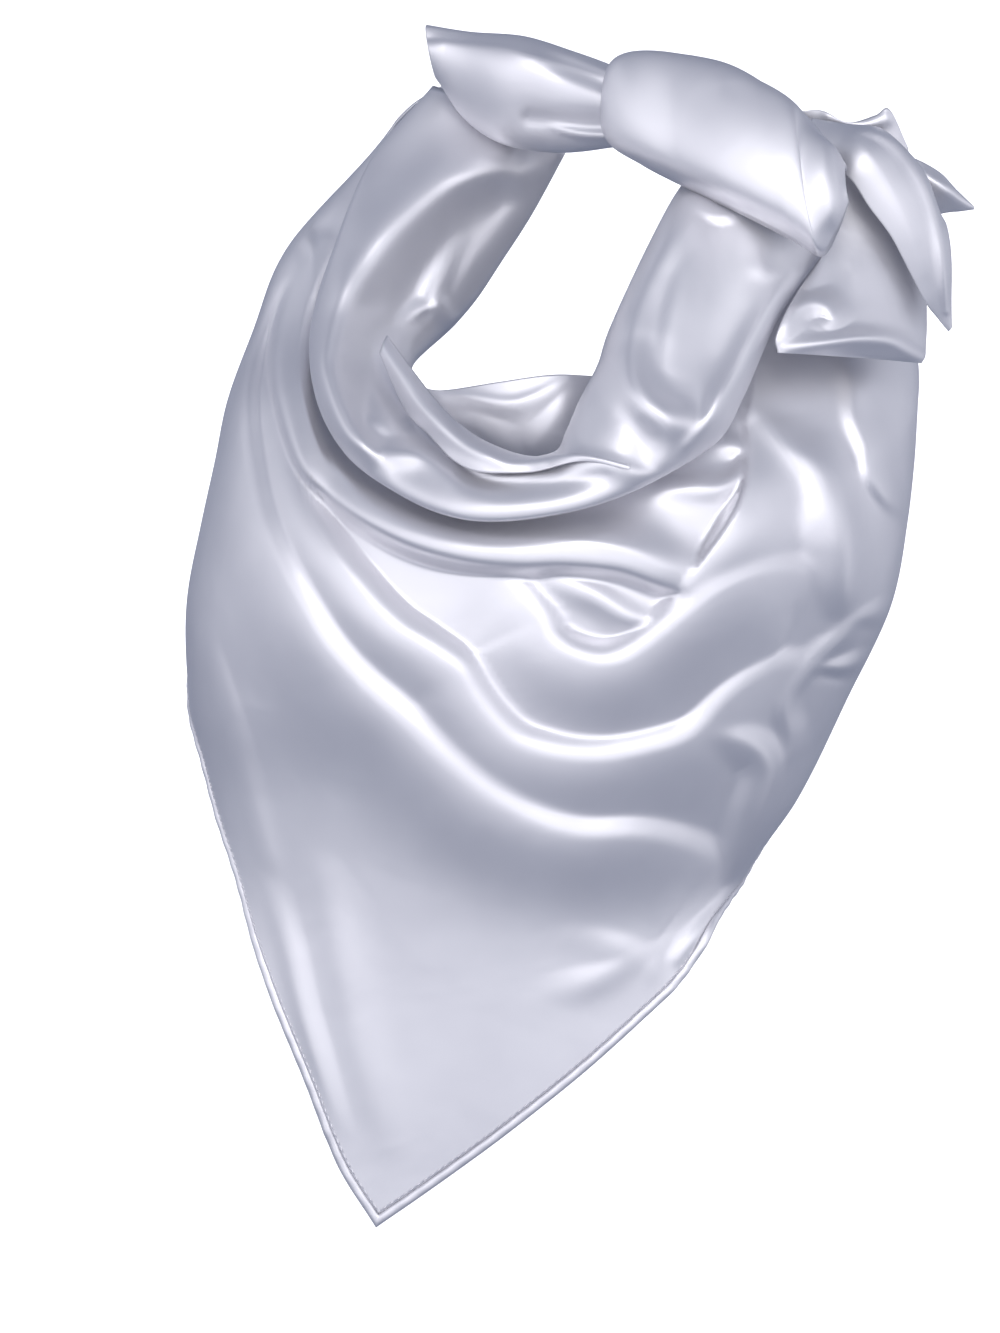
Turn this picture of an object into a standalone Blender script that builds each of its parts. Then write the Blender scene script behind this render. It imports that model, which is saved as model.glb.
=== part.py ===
"""A satin neckerchief, folded on its diagonal, worn round a neck and knotted at the side.

Metres, +Z up. The origin is the middle of the neck opening, and -Y faces the side that the
folds are drawn from: three-quarter front, so the wearer's own front is about 30 degrees to -X.
"""

import math
from collections import namedtuple

import bpy
import numpy as np
from mathutils import Vector
from mathutils.bvhtree import BVHTree

# Driving sizes of the cloth
SQUARE_SIDE = 0.70
CLOTH = 0.0015
HEM_WIDTH = 0.0045
HEM_THICKNESS = 0.0026
CLEARANCE = 0.0004

# Driving sizes of the worn form
DRAPE_BREADTH = 0.3514
DRAPE_DROP = 0.458
DRAPE_DEPTH = 0.132
FOLD_RISE = 0.017
SHOULDER = 0.084
COLLAR_BULGE = 0.016
COLLAR_BACK = 0.010
KNOT_BULGE = 0.026
TAIL_BULGE = 0.008

# The folded square's long edge to its point. Every height and depth below is a share of this size.
TRIANGLE_HEIGHT = SQUARE_SIDE * math.sqrt(0.5)

# The tables give places as they show in a view taken from this far above the horizon.
VIEW_RISE = math.radians(15)

# The turn of the hanging point, in degrees from the view towards the right
POINT_TURN = -28.6

# Where the drape's folds begin: a distance below its upper edge, and the turns they fade between
FOLD_START = 0.025
FOLD_TURNS = (100, 65)

# How square rolled and wrapped cloth is across: 1 is round, and less is flatter
BAND_FLATNESS = 0.5
STRAND_FLATNESS = 0.7

# The row, as a share of the way down, that shows which way the hem's cloth comes from
HEM_SIGHT = 0.97

# How finely each piece is divided
DRAPE_SPANS = [(-150, 6), (-80, 13), (POINT_TURN, 27), (80, 6)]
DRAPE_ROWS = 31
ROW_GROWTH = 1.3
FOLD_STEPS = 60
TUBE_SIDES = 12
STRIP_SIDES = 5
HEM_SIDES = 6

# How far a piece may slide while it settles on what carries it
SETTLE_TRAVEL = 0.070
SETTLE_STEP = 0.002
SETTLE_HALVINGS = 9

SATIN = (0.66, 0.67, 0.75, 1.0)
SATIN_ROUGHNESS = 0.3

# Level sections through the drape: how high, where the middle lies, half the breadth, how far the
# middle lies behind the neck's axis, and how far the front stands out from that middle.
Section = namedtuple("Section", "up centre reach back front")
SECTIONS = [
    Section(0.140, 0.070, 0.220, 0.170, 0.40),
    Section(0.040, 0.061, 0.308, 0.150, 0.49),
    Section(-0.040, 0.058, 0.338, 0.125, 0.67),
    Section(-0.110, 0.043, 0.348, 0.085, 0.84),
    Section(-0.170, 0.035, 0.352, 0.055, 0.94),
    Section(-0.230, 0.025, 0.355, 0.030, 1.00),
    Section(-0.310, 0.010, 0.355, 0.012, 1.00),
    Section(-0.410, -0.012, 0.331, 0.000, 0.97),
    Section(-0.510, -0.030, 0.300, 0.000, 0.94),
    Section(-0.595, -0.048, 0.262, -0.050, 0.71),
    Section(-0.710, -0.044, 0.256, -0.120, 0.42),
    Section(-0.810, -0.040, 0.250, -0.148, 0.31),
    Section(-0.925, -0.037, 0.240, -0.166, 0.23),
]
COLLAR_FOOT = -0.230

# The size that shares across the view are taken of: the drape's breadth at its widest section
ACROSS_SIZE = DRAPE_BREADTH / (2 * max(section.reach for section in SECTIONS))

# Where the drape's upper edge lies tucked under the collar, at each turn round the body, in degrees
# counted from the view towards the right.
Tuck = namedtuple("Tuck", "turn across up depth")
UPPER_EDGE = [
    Tuck(-150, -0.080, 0.215, 0.220),
    Tuck(-120, -0.125, 0.185, 0.200),
    Tuck(-90, -0.152, 0.140, 0.160),
    Tuck(-75, -0.178, 0.075, 0.110),
    Tuck(-60, -0.195, 0.005, 0.060),
    Tuck(-50, -0.200, -0.052, 0.015),
    Tuck(-42, -0.192, -0.108, -0.050),
    Tuck(-34, -0.170, -0.150, -0.110),
    Tuck(-25, -0.130, -0.182, -0.160),
    Tuck(-15, -0.082, -0.202, -0.195),
    Tuck(-5, -0.030, -0.210, -0.212),
    Tuck(5, 0.030, -0.206, -0.214),
    Tuck(15, 0.082, -0.192, -0.205),
    Tuck(25, 0.130, -0.168, -0.182),
    Tuck(33, 0.170, -0.136, -0.148),
    Tuck(42, 0.196, -0.095, -0.100),
    Tuck(50, 0.215, -0.050, -0.060),
    Tuck(60, 0.238, -0.010, -0.025),
    Tuck(75, 0.265, 0.030, 0.015),
    Tuck(90, 0.290, 0.065, 0.055),
    Tuck(120, 0.290, 0.120, 0.110),
    Tuck(150, 0.230, 0.140, 0.150),
]

# The drape's lower edge: how high it lies at each turn.
Edge = namedtuple("Edge", "turn up")
LEFT_HEM = [
    Edge(-150, 0.130),
    Edge(-130, -0.060),
    Edge(-110, -0.260),
    Edge(-90, -0.410),
    Edge(-82, -0.440),
    Edge(-76, -0.475),
    Edge(-70, -0.555),
    Edge(-67, -0.595),
    Edge(-55, -0.700),
    Edge(-45.4, -0.785),
    Edge(-37, -0.870),
    Edge(POINT_TURN, -0.925),
]
RIGHT_HEM = [
    Edge(POINT_TURN, -0.925),
    Edge(-22.6, -0.910),
    Edge(-5, -0.860),
    Edge(16.4, -0.790),
    Edge(37, -0.720),
    Edge(53, -0.670),
    Edge(63, -0.632),
    Edge(75, -0.605),
    Edge(90, -0.575),
    Edge(110, -0.450),
    Edge(130, -0.220),
    Edge(150, 0.040),
]

# Crests of the drape's folds, each drawn from left to right. rise is a share of FOLD_RISE, over and
# under are how far the fold reaches to the left and to the right of its own direction.
Crest = namedtuple("Crest", "across up rise over under")
FOLDS = {
    "under_collar": [
        Crest(-0.206, 0.034, 0.2, 0.016, 0.022),
        Crest(-0.232, -0.030, 0.5, 0.018, 0.022),
        Crest(-0.234, -0.100, 0.8, 0.018, 0.022),
        Crest(-0.212, -0.160, 0.9, 0.020, 0.024),
        Crest(-0.150, -0.222, 1.0, 0.022, 0.024),
        Crest(-0.062, -0.248, 1.0, 0.022, 0.024),
        Crest(0.030, -0.250, 1.0, 0.022, 0.024),
        Crest(0.110, -0.268, 0.9, 0.024, 0.024),
        Crest(0.168, -0.292, 0.5, 0.024, 0.020),
    ],
    "long_outer": [
        Crest(-0.255, 0.015, 0.16, 0.024, 0.026),
        Crest(-0.290, -0.080, 0.40, 0.026, 0.026),
        Crest(-0.286, -0.180, 0.72, 0.028, 0.028),
        Crest(-0.254, -0.280, 0.80, 0.032, 0.030),
        Crest(-0.192, -0.370, 0.96, 0.036, 0.034),
        Crest(-0.096, -0.466, 1.04, 0.038, 0.038),
        Crest(0.000, -0.530, 1.12, 0.040, 0.040),
        Crest(0.090, -0.553, 1.12, 0.040, 0.036),
        Crest(0.190, -0.580, 0.48, 0.034, 0.030),
    ],
    "middle": [
        Crest(-0.245, -0.160, 0.36, 0.020, 0.022),
        Crest(-0.213, -0.237, 0.54, 0.024, 0.024),
        Crest(-0.158, -0.322, 0.72, 0.030, 0.026),
        Crest(-0.076, -0.385, 0.81, 0.034, 0.028),
        Crest(-0.030, -0.446, 0.90, 0.038, 0.028),
        Crest(0.050, -0.474, 0.99, 0.040, 0.028),
        Crest(0.145, -0.454, 0.99, 0.040, 0.030),
        Crest(0.225, -0.390, 0.81, 0.036, 0.030),
        Crest(0.270, -0.380, 0.27, 0.030, 0.030),
    ],
    "upper_bowl": [
        Crest(-0.020, -0.298, 0.2, 0.020, 0.022),
        Crest(0.022, -0.358, 0.7, 0.024, 0.026),
        Crest(0.080, -0.375, 0.9, 0.026, 0.028),
        Crest(0.130, -0.352, 1.0, 0.028, 0.030),
        Crest(0.185, -0.305, 1.0, 0.028, 0.032),
        Crest(0.250, -0.283, 0.8, 0.028, 0.030),
        Crest(0.305, -0.310, 0.3, 0.026, 0.028),
    ],
    "right_edge": [
        Crest(0.225, -0.150, 0.4, 0.050, 0.020),
        Crest(0.228, -0.200, 0.9, 0.055, 0.018),
        Crest(0.203, -0.255, 1.0, 0.055, 0.018),
        Crest(0.150, -0.315, 0.4, 0.045, 0.018),
    ],
    "right_slope": [
        Crest(0.250, -0.135, 0.3, 0.020, 0.024),
        Crest(0.290, -0.185, 0.6, 0.024, 0.024),
        Crest(0.314, -0.244, 0.8, 0.024, 0.024),
        Crest(0.314, -0.320, 0.4, 0.024, 0.024),
    ],
}

# A roll or strip of cloth, station by station: the places of its outer and inner edges, and how far
# it stands out between them as a share of the piece's own bulge.
Station = namedtuple("Station", "out_across out_up out_depth in_across in_up in_depth bulge")
COLLAR = [
    Station(-0.098, 0.208, 0.190, 0.036, 0.140, 0.165, 0.6),
    Station(-0.158, 0.136, 0.135, 0.002, 0.078, 0.155, 0.9),
    Station(-0.196, 0.044, 0.055, -0.033, 0.025, 0.135, 1.1),
    Station(-0.219, -0.040, -0.005, -0.072, -0.030, 0.095, 1.2),
    Station(-0.212, -0.110, -0.095, -0.118, -0.078, 0.010, 1.0),
    Station(-0.181, -0.167, -0.165, -0.102, -0.122, -0.075, 0.8),
    Station(-0.127, -0.206, -0.218, -0.078, -0.150, -0.122, 0.8),
    Station(-0.079, -0.226, -0.252, -0.045, -0.168, -0.150, 0.8),
    Station(-0.030, -0.230, -0.264, -0.010, -0.178, -0.162, 0.8),
    Station(0.033, -0.222, -0.264, 0.030, -0.170, -0.165, 0.8),
    Station(0.082, -0.209, -0.252, 0.040, -0.145, -0.160, 1.0),
    Station(0.134, -0.185, -0.230, 0.050, -0.115, -0.150, 1.3),
    Station(0.187, -0.151, -0.190, 0.066, -0.080, -0.130, 1.6),
    Station(0.212, -0.109, -0.140, 0.077, -0.045, -0.105, 1.8),
    Station(0.248, -0.029, -0.065, 0.105, 0.018, -0.060, 1.7),
    Station(0.289, 0.031, 0.000, 0.135, 0.078, -0.015, 1.3),
    Station(0.320, 0.070, 0.040, 0.152, 0.106, 0.020, 0.9),
]
LIP_FOLD = [
    Station(-0.150, -0.065, -0.075, -0.142, -0.047, -0.060, 0.3),
    Station(-0.124, -0.122, -0.115, -0.112, -0.088, -0.100, 0.5),
    Station(-0.101, -0.147, -0.150, -0.090, -0.116, -0.125, 0.5),
    Station(-0.076, -0.173, -0.180, -0.066, -0.139, -0.145, 0.5),
    Station(-0.048, -0.184, -0.200, -0.038, -0.156, -0.160, 0.5),
    Station(0.000, -0.184, -0.205, 0.000, -0.168, -0.175, 0.3),
    Station(0.050, -0.174, -0.216, 0.048, -0.166, -0.208, 0.2),
    Station(0.098, -0.182, -0.229, 0.099, -0.177, -0.224, 0.1),
]
INNER_FOLD = [
    Station(-0.100, -0.150, -0.098, -0.108, -0.098, -0.088, 0.2),
    Station(-0.065, -0.165, -0.125, -0.085, -0.101, -0.112, 0.4),
    Station(-0.010, -0.180, -0.142, -0.030, -0.093, -0.130, 0.5),
    Station(0.040, -0.175, -0.142, 0.022, -0.086, -0.128, 0.5),
    Station(0.085, -0.150, -0.122, 0.065, -0.087, -0.110, 0.3),
]
NAPE_STRAND = [
    Station(-0.093, 0.214, 0.170, -0.104, 0.268, 0.175, 0.5),
    Station(-0.066, 0.175, 0.160, -0.060, 0.261, 0.170, 0.7),
    Station(-0.025, 0.148, 0.145, -0.006, 0.256, 0.155, 1.0),
    Station(0.030, 0.139, 0.128, 0.045, 0.240, 0.142, 1.0),
    Station(0.080, 0.143, 0.098, 0.083, 0.225, 0.115, 0.8),
    Station(0.115, 0.148, 0.070, 0.118, 0.208, 0.088, 0.6),
]
KNOT_WRAP = [
    Station(0.084, 0.150, 0.070, 0.090, 0.226, 0.090, 0.5),
    Station(0.110, 0.125, 0.035, 0.110, 0.235, 0.085, 0.9),
    Station(0.160, 0.098, 0.000, 0.150, 0.230, 0.080, 1.0),
    Station(0.210, 0.073, -0.035, 0.192, 0.218, 0.070, 1.1),
    Station(0.260, 0.047, -0.055, 0.232, 0.198, 0.050, 1.1),
    Station(0.290, 0.031, -0.062, 0.272, 0.176, 0.025, 1.0),
    Station(0.306, 0.055, -0.060, 0.300, 0.142, 0.000, 0.85),
    Station(0.317, 0.085, -0.055, 0.316, 0.118, -0.005, 0.3),
]
KNOT_BACK = [
    Station(0.120, 0.222, 0.105, 0.110, 0.135, 0.090, 0.40),
    Station(0.165, 0.213, 0.095, 0.155, 0.115, 0.075, 0.50),
    Station(0.220, 0.195, 0.080, 0.205, 0.095, 0.055, 0.50),
    Station(0.270, 0.165, 0.060, 0.255, 0.080, 0.035, 0.35),
]
TAIL_OVER = [
    Station(0.262, 0.128, 0.000, 0.282, 0.172, 0.035, 0.3),
    Station(0.300, 0.118, -0.015, 0.318, 0.166, 0.030, 0.6),
    Station(0.319, 0.110, -0.030, 0.350, 0.162, 0.025, 0.9),
    Station(0.338, 0.082, -0.035, 0.376, 0.141, 0.025, 1.0),
    Station(0.360, 0.053, -0.035, 0.396, 0.116, 0.025, 1.0),
    Station(0.378, 0.020, -0.030, 0.410, 0.080, 0.025, 1.0),
    Station(0.396, -0.013, -0.020, 0.419, 0.058, 0.025, 0.8),
    Station(0.410, -0.030, -0.005, 0.421, 0.000, 0.020, 0.4),
    Station(0.419, -0.041, 0.005, 0.423, -0.035, 0.010, 0.1),
]
TAIL_UNDER = [
    Station(0.280, 0.128, 0.020, 0.345, 0.150, 0.055, 0.2),
    Station(0.305, 0.100, 0.020, 0.370, 0.110, 0.060, 0.4),
    Station(0.306, 0.066, 0.000, 0.385, 0.060, 0.050, 0.8),
    Station(0.289, 0.030, -0.030, 0.396, 0.010, 0.045, 1.2),
    Station(0.267, -0.002, -0.065, 0.398, -0.030, 0.040, 1.5),
    Station(0.252, -0.028, -0.095, 0.397, -0.055, 0.030, 1.6),
    Station(0.244, -0.050, -0.115, 0.396, -0.066, 0.020, 1.4),
    Station(0.246, -0.065, -0.118, 0.392, -0.073, 0.015, 0.9),
]
TAIL_BACK = [
    Station(0.352, 0.060, 0.055, 0.350, 0.140, 0.060, 0.3),
    Station(0.385, 0.070, 0.058, 0.380, 0.135, 0.062, 0.6),
    Station(0.415, 0.078, 0.062, 0.410, 0.120, 0.066, 0.6),
    Station(0.432, 0.080, 0.066, 0.428, 0.102, 0.070, 0.4),
    Station(0.446, 0.082, 0.070, 0.444, 0.087, 0.072, 0.1),
]
PEAK_FLAP = [
    Station(0.270, 0.140, 0.060, 0.268, 0.179, 0.050, 0.2),
    Station(0.292, 0.135, 0.055, 0.292, 0.180, 0.048, 0.5),
    Station(0.322, 0.120, 0.050, 0.318, 0.168, 0.046, 0.5),
    Station(0.350, 0.110, 0.050, 0.345, 0.175, 0.048, 0.5),
    Station(0.368, 0.105, 0.050, 0.360, 0.181, 0.050, 0.3),
    Station(0.380, 0.110, 0.050, 0.379, 0.143, 0.052, 0.1),
]
KNOT_CORNER = [
    Station(0.186, 0.190, 0.085, 0.190, 0.212, 0.085, 0.1),
    Station(0.206, 0.180, 0.085, 0.207, 0.221, 0.085, 0.4),
    Station(0.228, 0.170, 0.082, 0.224, 0.207, 0.080, 0.4),
    Station(0.258, 0.165, 0.075, 0.256, 0.184, 0.072, 0.1),
]


def clear_scene():
    for old in list(bpy.data.objects):
        bpy.data.objects.remove(old)


def seen(across, up, depth):
    """A place from how it shows in the raised view, and how far it lies behind the neck's axis."""
    rise = (up - depth * math.sin(VIEW_RISE)) / math.cos(VIEW_RISE)
    return np.stack(np.broadcast_arrays(across, depth, rise), axis=-1)


def towards_view():
    return np.array((0.0, -math.cos(VIEW_RISE), math.sin(VIEW_RISE)))


def outward(facing):
    """Directions across a strip of cloth, at length one and turned so that most face the view."""
    facing /= np.linalg.norm(facing, axis=1, keepdims=True)
    return facing if (facing @ towards_view()).sum() > 0 else -facing


def through(places, values, at):
    """A smooth curve through a table's values, read at any place along it."""
    places = np.asarray(places, float)
    values = np.asarray(values, float)
    slopes = np.gradient(values, places, axis=0)
    row = np.clip(np.searchsorted(places, at) - 1, 0, len(places) - 2)
    span = places[row + 1] - places[row]
    t = (np.asarray(at, float) - places[row]) / span
    if values.ndim > 1:
        t = t[..., None]
        span = span[..., None]
    start = values[row] * (2 * t**3 - 3 * t**2 + 1) + slopes[row] * span * (t**3 - 2 * t**2 + t)
    end = values[row + 1] * (3 * t**2 - 2 * t**3) + slopes[row + 1] * span * (t**3 - t**2)
    return start + end


def stretched(up):
    """A table's height, in metres: the drop below the collar follows the drape's own length."""
    collar_foot = COLLAR_FOOT * TRIANGLE_HEIGHT
    table_drop = -SECTIONS[-1].up * TRIANGLE_HEIGHT
    stretch = (DRAPE_DROP + collar_foot) / (table_drop + collar_foot)
    height = np.asarray(up) * TRIANGLE_HEIGHT
    return np.where(height < collar_foot, collar_foot + (height - collar_foot) * stretch, height)


def relief(across, up, folds):
    """How far the folds' crests lift the cloth at each place, as a share of their rise."""
    places = np.stack((across, up), axis=-1).reshape(-1, 2)
    lift = np.zeros(len(places))
    for crests in folds.values():
        rows = np.array(crests)
        line = through(range(len(rows)), rows, np.linspace(0, len(rows) - 1, FOLD_STEPS))
        course = np.gradient(line[:, :2], axis=0)
        apart = places[:, None, :] - line[None, :, :2]
        nearest = np.argmin((apart**2).sum(-1), axis=1)
        offset = apart[np.arange(len(places)), nearest]
        along = course[nearest]
        left_side = along[:, 0] * offset[:, 1] - along[:, 1] * offset[:, 0] > 0
        reach = np.where(left_side, line[nearest, 3], line[nearest, 4])
        lift += line[nearest, 2] * np.exp(-(offset**2).sum(-1) / reach**2)
    return lift.reshape(np.shape(across))


def ease(low, high, value):
    t = np.clip((value - low) / (high - low), 0, 1)
    return t * t * (3 - 2 * t)


def level_section(turn, up):
    """How far across and how deep the hanging cloth lies, at a turn and a height."""
    rows = np.array(SECTIONS)[::-1]
    section = through(rows[:, 0], rows[:, 1:], up)
    angle = np.radians(turn)
    across = section[..., 0] + section[..., 1] * np.sin(angle)
    depth = section[..., 2] * TRIANGLE_HEIGHT - section[..., 3] * DRAPE_DEPTH * np.cos(angle)
    return across, depth


def drape_surface(turn, down):
    """Places on the drape: turn is in degrees round the body, down runs from 0 at the top to 1."""
    hem_left = through([e.turn for e in LEFT_HEM], [e.up for e in LEFT_HEM], turn)
    hem_right = through([e.turn for e in RIGHT_HEM], [e.up for e in RIGHT_HEM], turn)
    hem = np.where(turn < POINT_TURN, hem_left, hem_right)
    tuck = np.array(UPPER_EDGE)
    upper = through(tuck[:, 0], tuck[:, 1:], turn)
    top = upper[..., 1]
    up = top + (hem - top) * down
    hung = level_section(turn, up)
    start = level_section(turn, top)
    below = (top - up) * TRIANGLE_HEIGHT
    fall = 1 - ease(0, SHOULDER, below)
    across = hung[0] + (upper[..., 0] - start[0]) * fall
    depth = hung[1] + (upper[..., 2] * TRIANGLE_HEIGHT - start[1]) * fall
    faces_view = ease(*FOLD_TURNS, np.abs(turn)) * ease(0, FOLD_START, below)
    lift = relief(across, up, FOLDS) * FOLD_RISE * faces_view
    place = seen(across * ACROSS_SIZE, stretched(up), depth)
    return place + lift[..., None] * towards_view()


def drape_turns():
    """The turns of the drape's columns, closer together where the folds are."""
    starts = [start for start, _ in DRAPE_SPANS] + [RIGHT_HEM[-1].turn]
    turns = [
        np.linspace(start, end, count, endpoint=False)
        for start, end, (_, count) in zip(starts, starts[1:], DRAPE_SPANS)
    ]
    return np.concatenate((*turns, [starts[-1]]))


def satin():
    material = bpy.data.materials.new("satin")
    material.use_nodes = True
    shader = material.node_tree.nodes["Principled BSDF"]
    shader.inputs["Base Color"].default_value = SATIN
    shader.inputs["Roughness"].default_value = SATIN_ROUGHNESS
    return material


def loft(name, points, closed=False, capped=False):
    """A surface through rows of points, closed round each row or left open along its edges."""
    rows, sides = points.shape[:2]
    faces = []
    for r in range(rows - 1):
        for s in range(sides if closed else sides - 1):
            after = (s + 1) % sides
            faces.append((r * sides + s, r * sides + after, (r + 1) * sides + after, (r + 1) * sides + s))
    if capped:
        faces.append(tuple(range(sides))[::-1])
        faces.append(tuple((rows - 1) * sides + s for s in range(sides)))
    mesh = bpy.data.meshes.new(name)
    mesh.from_pydata(points.reshape(-1, 3).tolist(), [], faces)
    mesh.shade_smooth()
    piece = bpy.data.objects.new(name, mesh)
    piece.data.materials.append(satin())
    collection.objects.link(piece)
    return piece


def give_wall(piece):
    wall = piece.modifiers.new("wall", "SOLIDIFY")
    wall.thickness = CLOTH
    wall.offset = -1


def traced(stations, steps):
    """The middle line of a row of stations, with its half breadth, facing and share of bulge."""
    rows = np.array(stations)
    line = through(range(len(rows)), rows, np.linspace(0, len(rows) - 1, steps))
    size = TRIANGLE_HEIGHT
    outer = seen(line[:, 0] * ACROSS_SIZE, line[:, 1] * size, line[:, 2] * size)
    inner = seen(line[:, 3] * ACROSS_SIZE, line[:, 4] * size, line[:, 5] * size)
    middle = (outer + inner) / 2
    half = (outer - inner) / 2
    facing = outward(np.cross(np.gradient(middle, axis=0), half))
    return middle[:, None], half[:, None], facing[:, None], line[:, 6][:, None, None]


def tube(name, stations, front, back, sides, steps, flatness=1.0):
    """A hollow roll of cloth, open at both ends, rounder towards the view than behind."""
    middle, half, facing, share = traced(stations, steps)
    angle = np.radians(np.linspace(0, 360, sides, endpoint=False))[None, :, None]
    height = np.sign(np.sin(angle)) * np.abs(np.sin(angle)) ** flatness
    stands = np.where(height > 0, front, back) * share * height
    piece = loft(name, middle + half * np.cos(angle) + facing * stands, closed=True)
    face_outwards(piece)
    give_wall(piece)
    return piece


def band(name, stations, bulge, sides, steps):
    """A broad strip of cloth, arched towards the view and open behind."""
    middle, half, facing, share = traced(stations, steps)
    angle = np.radians(np.linspace(0, 180, sides))[None, :, None]
    across = np.clip(np.sin(angle), 0, 1) ** BAND_FLATNESS
    points = middle + half * np.cos(angle) + facing * bulge * share * across
    piece = loft(name, points)
    face_outwards(piece)
    give_wall(piece)
    return piece


def flap(name, stations, bulge, sides, steps):
    """A flat end of cloth that may narrow to a corner: one thickness, gently arched."""
    middle, half, facing, share = traced(stations, steps)
    place = np.linspace(1, -1, sides)[None, :, None]
    front = middle + half * place + facing * bulge * share * (1 - place**2)
    points = np.concatenate((front, front[:, ::-1] - facing * CLOTH), axis=1)
    piece = loft(name, points, closed=True, capped=True)
    turn_outwards(piece)
    return piece


def turn_outwards(piece):
    """Turns a closed solid's faces outwards, whichever way its stations run."""
    mesh = piece.data
    volume = 0.0
    for face in mesh.polygons:
        corners = [mesh.vertices[i].co for i in face.vertices]
        for second, third in zip(corners[1:], corners[2:]):
            volume += corners[0].dot(second.cross(third))
    if volume < 0:
        mesh.flip_normals()


def face_outwards(piece):
    """Turns an open surface's faces so that most of them look towards the view."""
    ahead = Vector(towards_view())
    if sum(face.normal.dot(ahead) * face.area for face in front_faces(piece)) < 0:
        piece.data.flip_normals()


def front_faces(piece):
    """The faces on the half of a piece that lies nearer the view."""
    ahead = Vector(towards_view())
    faces = sorted(piece.data.polygons, key=lambda face: face.center.dot(ahead))
    return faces[len(faces) // 2:]


def world_mesh(piece):
    graph = bpy.context.evaluated_depsgraph_get()
    mesh = piece.evaluated_get(graph).to_mesh()
    points = [piece.matrix_world @ vertex.co for vertex in mesh.vertices]
    faces = [tuple(face.vertices) for face in mesh.polygons]
    return points, faces


def settle(piece, seats, direction, travel=SETTLE_TRAVEL):
    """Slides a piece along a direction until it lies a clearance short of what it rests on."""
    bpy.context.view_layer.update()
    carriers = [BVHTree.FromPolygons(*world_mesh(seat)) for seat in seats]
    points, faces = world_mesh(piece)

    def meets(slide):
        moved = BVHTree.FromPolygons([point + direction * slide for point in points], faces)
        return any(carrier.overlap(moved) for carrier in carriers)

    clear = -travel
    met = clear
    while met < travel and not meets(met):
        clear = met
        met += SETTLE_STEP
    for _ in range(SETTLE_HALVINGS):
        middle = (clear + met) / 2
        if meets(middle):
            met = middle
        else:
            clear = middle
    piece.location += direction * (clear - CLEARANCE)
    bpy.context.view_layer.update()


def drape():
    turns = drape_turns()
    downs = np.linspace(0, 1, DRAPE_ROWS + 1) ** ROW_GROWTH
    points = drape_surface(turns[:, None] + 0 * downs, downs + 0 * turns[:, None])
    piece = loft("drape", points)
    face_outwards(piece)
    give_wall(piece)
    return piece


def hem():
    """The rolled edge, a flattened tube just outside the cloth's edge, mitred at the point."""
    turns = drape_turns()
    edge = drape_surface(turns, np.ones(len(turns)))
    above = drape_surface(turns, np.full(len(turns), HEM_SIGHT))
    before = np.diff(edge, axis=0, prepend=2 * edge[:1] - edge[1:2])
    after = np.diff(edge, axis=0, append=2 * edge[-1:] - edge[-2:-1])
    before /= np.linalg.norm(before, axis=1, keepdims=True)
    after /= np.linalg.norm(after, axis=1, keepdims=True)
    course = before + after
    mitre = 2 / np.linalg.norm(course, axis=1, keepdims=True)
    course *= mitre / 2
    inward = above - edge
    inward -= (inward * course).sum(1, keepdims=True) * course
    inward /= np.linalg.norm(inward, axis=1, keepdims=True)
    facing = outward(np.cross(course, inward))
    middle = edge - inward * mitre * (HEM_WIDTH / 2 + CLEARANCE) - facing * CLOTH / 2
    angle = np.radians(np.linspace(0, 360, HEM_SIDES, endpoint=False))[None, :, None]
    across = inward[:, None] * mitre[:, None] * np.cos(angle) * HEM_WIDTH / 2
    points = middle[:, None] + across + facing[:, None] * np.sin(angle) * HEM_THICKNESS / 2
    turn_outwards(loft("hem", points, closed=True, capped=True))


def build():
    away = -Vector(towards_view())
    near = Vector(towards_view())
    cloth = drape()
    hem()
    collar = tube("collar", COLLAR, COLLAR_BULGE, COLLAR_BACK, TUBE_SIDES, 34)
    settle(collar, [cloth], away)
    inner = flap("inner_fold", INNER_FOLD, TAIL_BULGE, STRIP_SIDES, 12)
    settle(inner, [collar], near)
    lip = flap("lip_fold", LIP_FOLD, TAIL_BULGE, STRIP_SIDES, 16)
    settle(lip, [collar, inner], away)
    sides = TUBE_SIDES - 2
    strand = tube("nape_strand", NAPE_STRAND, COLLAR_BULGE, COLLAR_BACK, sides, 14, STRAND_FLATNESS)
    settle(strand, [collar], away)
    under = flap("tail_under", TAIL_UNDER, TAIL_BULGE, STRIP_SIDES, 12)
    settle(under, [cloth, collar], away)
    over = flap("tail_over", TAIL_OVER, TAIL_BULGE, STRIP_SIDES, 14)
    settle(over, [under], away)
    wrap = band("knot_wrap", KNOT_WRAP, KNOT_BULGE, sides, 13)
    settle(wrap, [collar, strand, over, under], away)
    peak = flap("peak_flap", PEAK_FLAP, TAIL_BULGE, STRIP_SIDES, 10)
    settle(peak, [wrap, over, under], near, SETTLE_TRAVEL / 4)
    tail_back = flap("tail_back", TAIL_BACK, TAIL_BULGE, STRIP_SIDES, 9)
    settle(tail_back, [over, under, peak], near, SETTLE_TRAVEL / 4)
    corner = flap("knot_corner", KNOT_CORNER, TAIL_BULGE, STRIP_SIDES, 8)
    settle(corner, [wrap, strand, peak], near, SETTLE_TRAVEL / 2)
    back = band("knot_back", KNOT_BACK, -KNOT_BULGE, TUBE_SIDES - 4, 8)
    settle(back, [strand, collar, wrap, corner, peak, under], near, SETTLE_TRAVEL / 4)


clear_scene()
collection = bpy.data.collections.new("neckerchief")
bpy.context.scene.collection.children.link(collection)
build()
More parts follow.
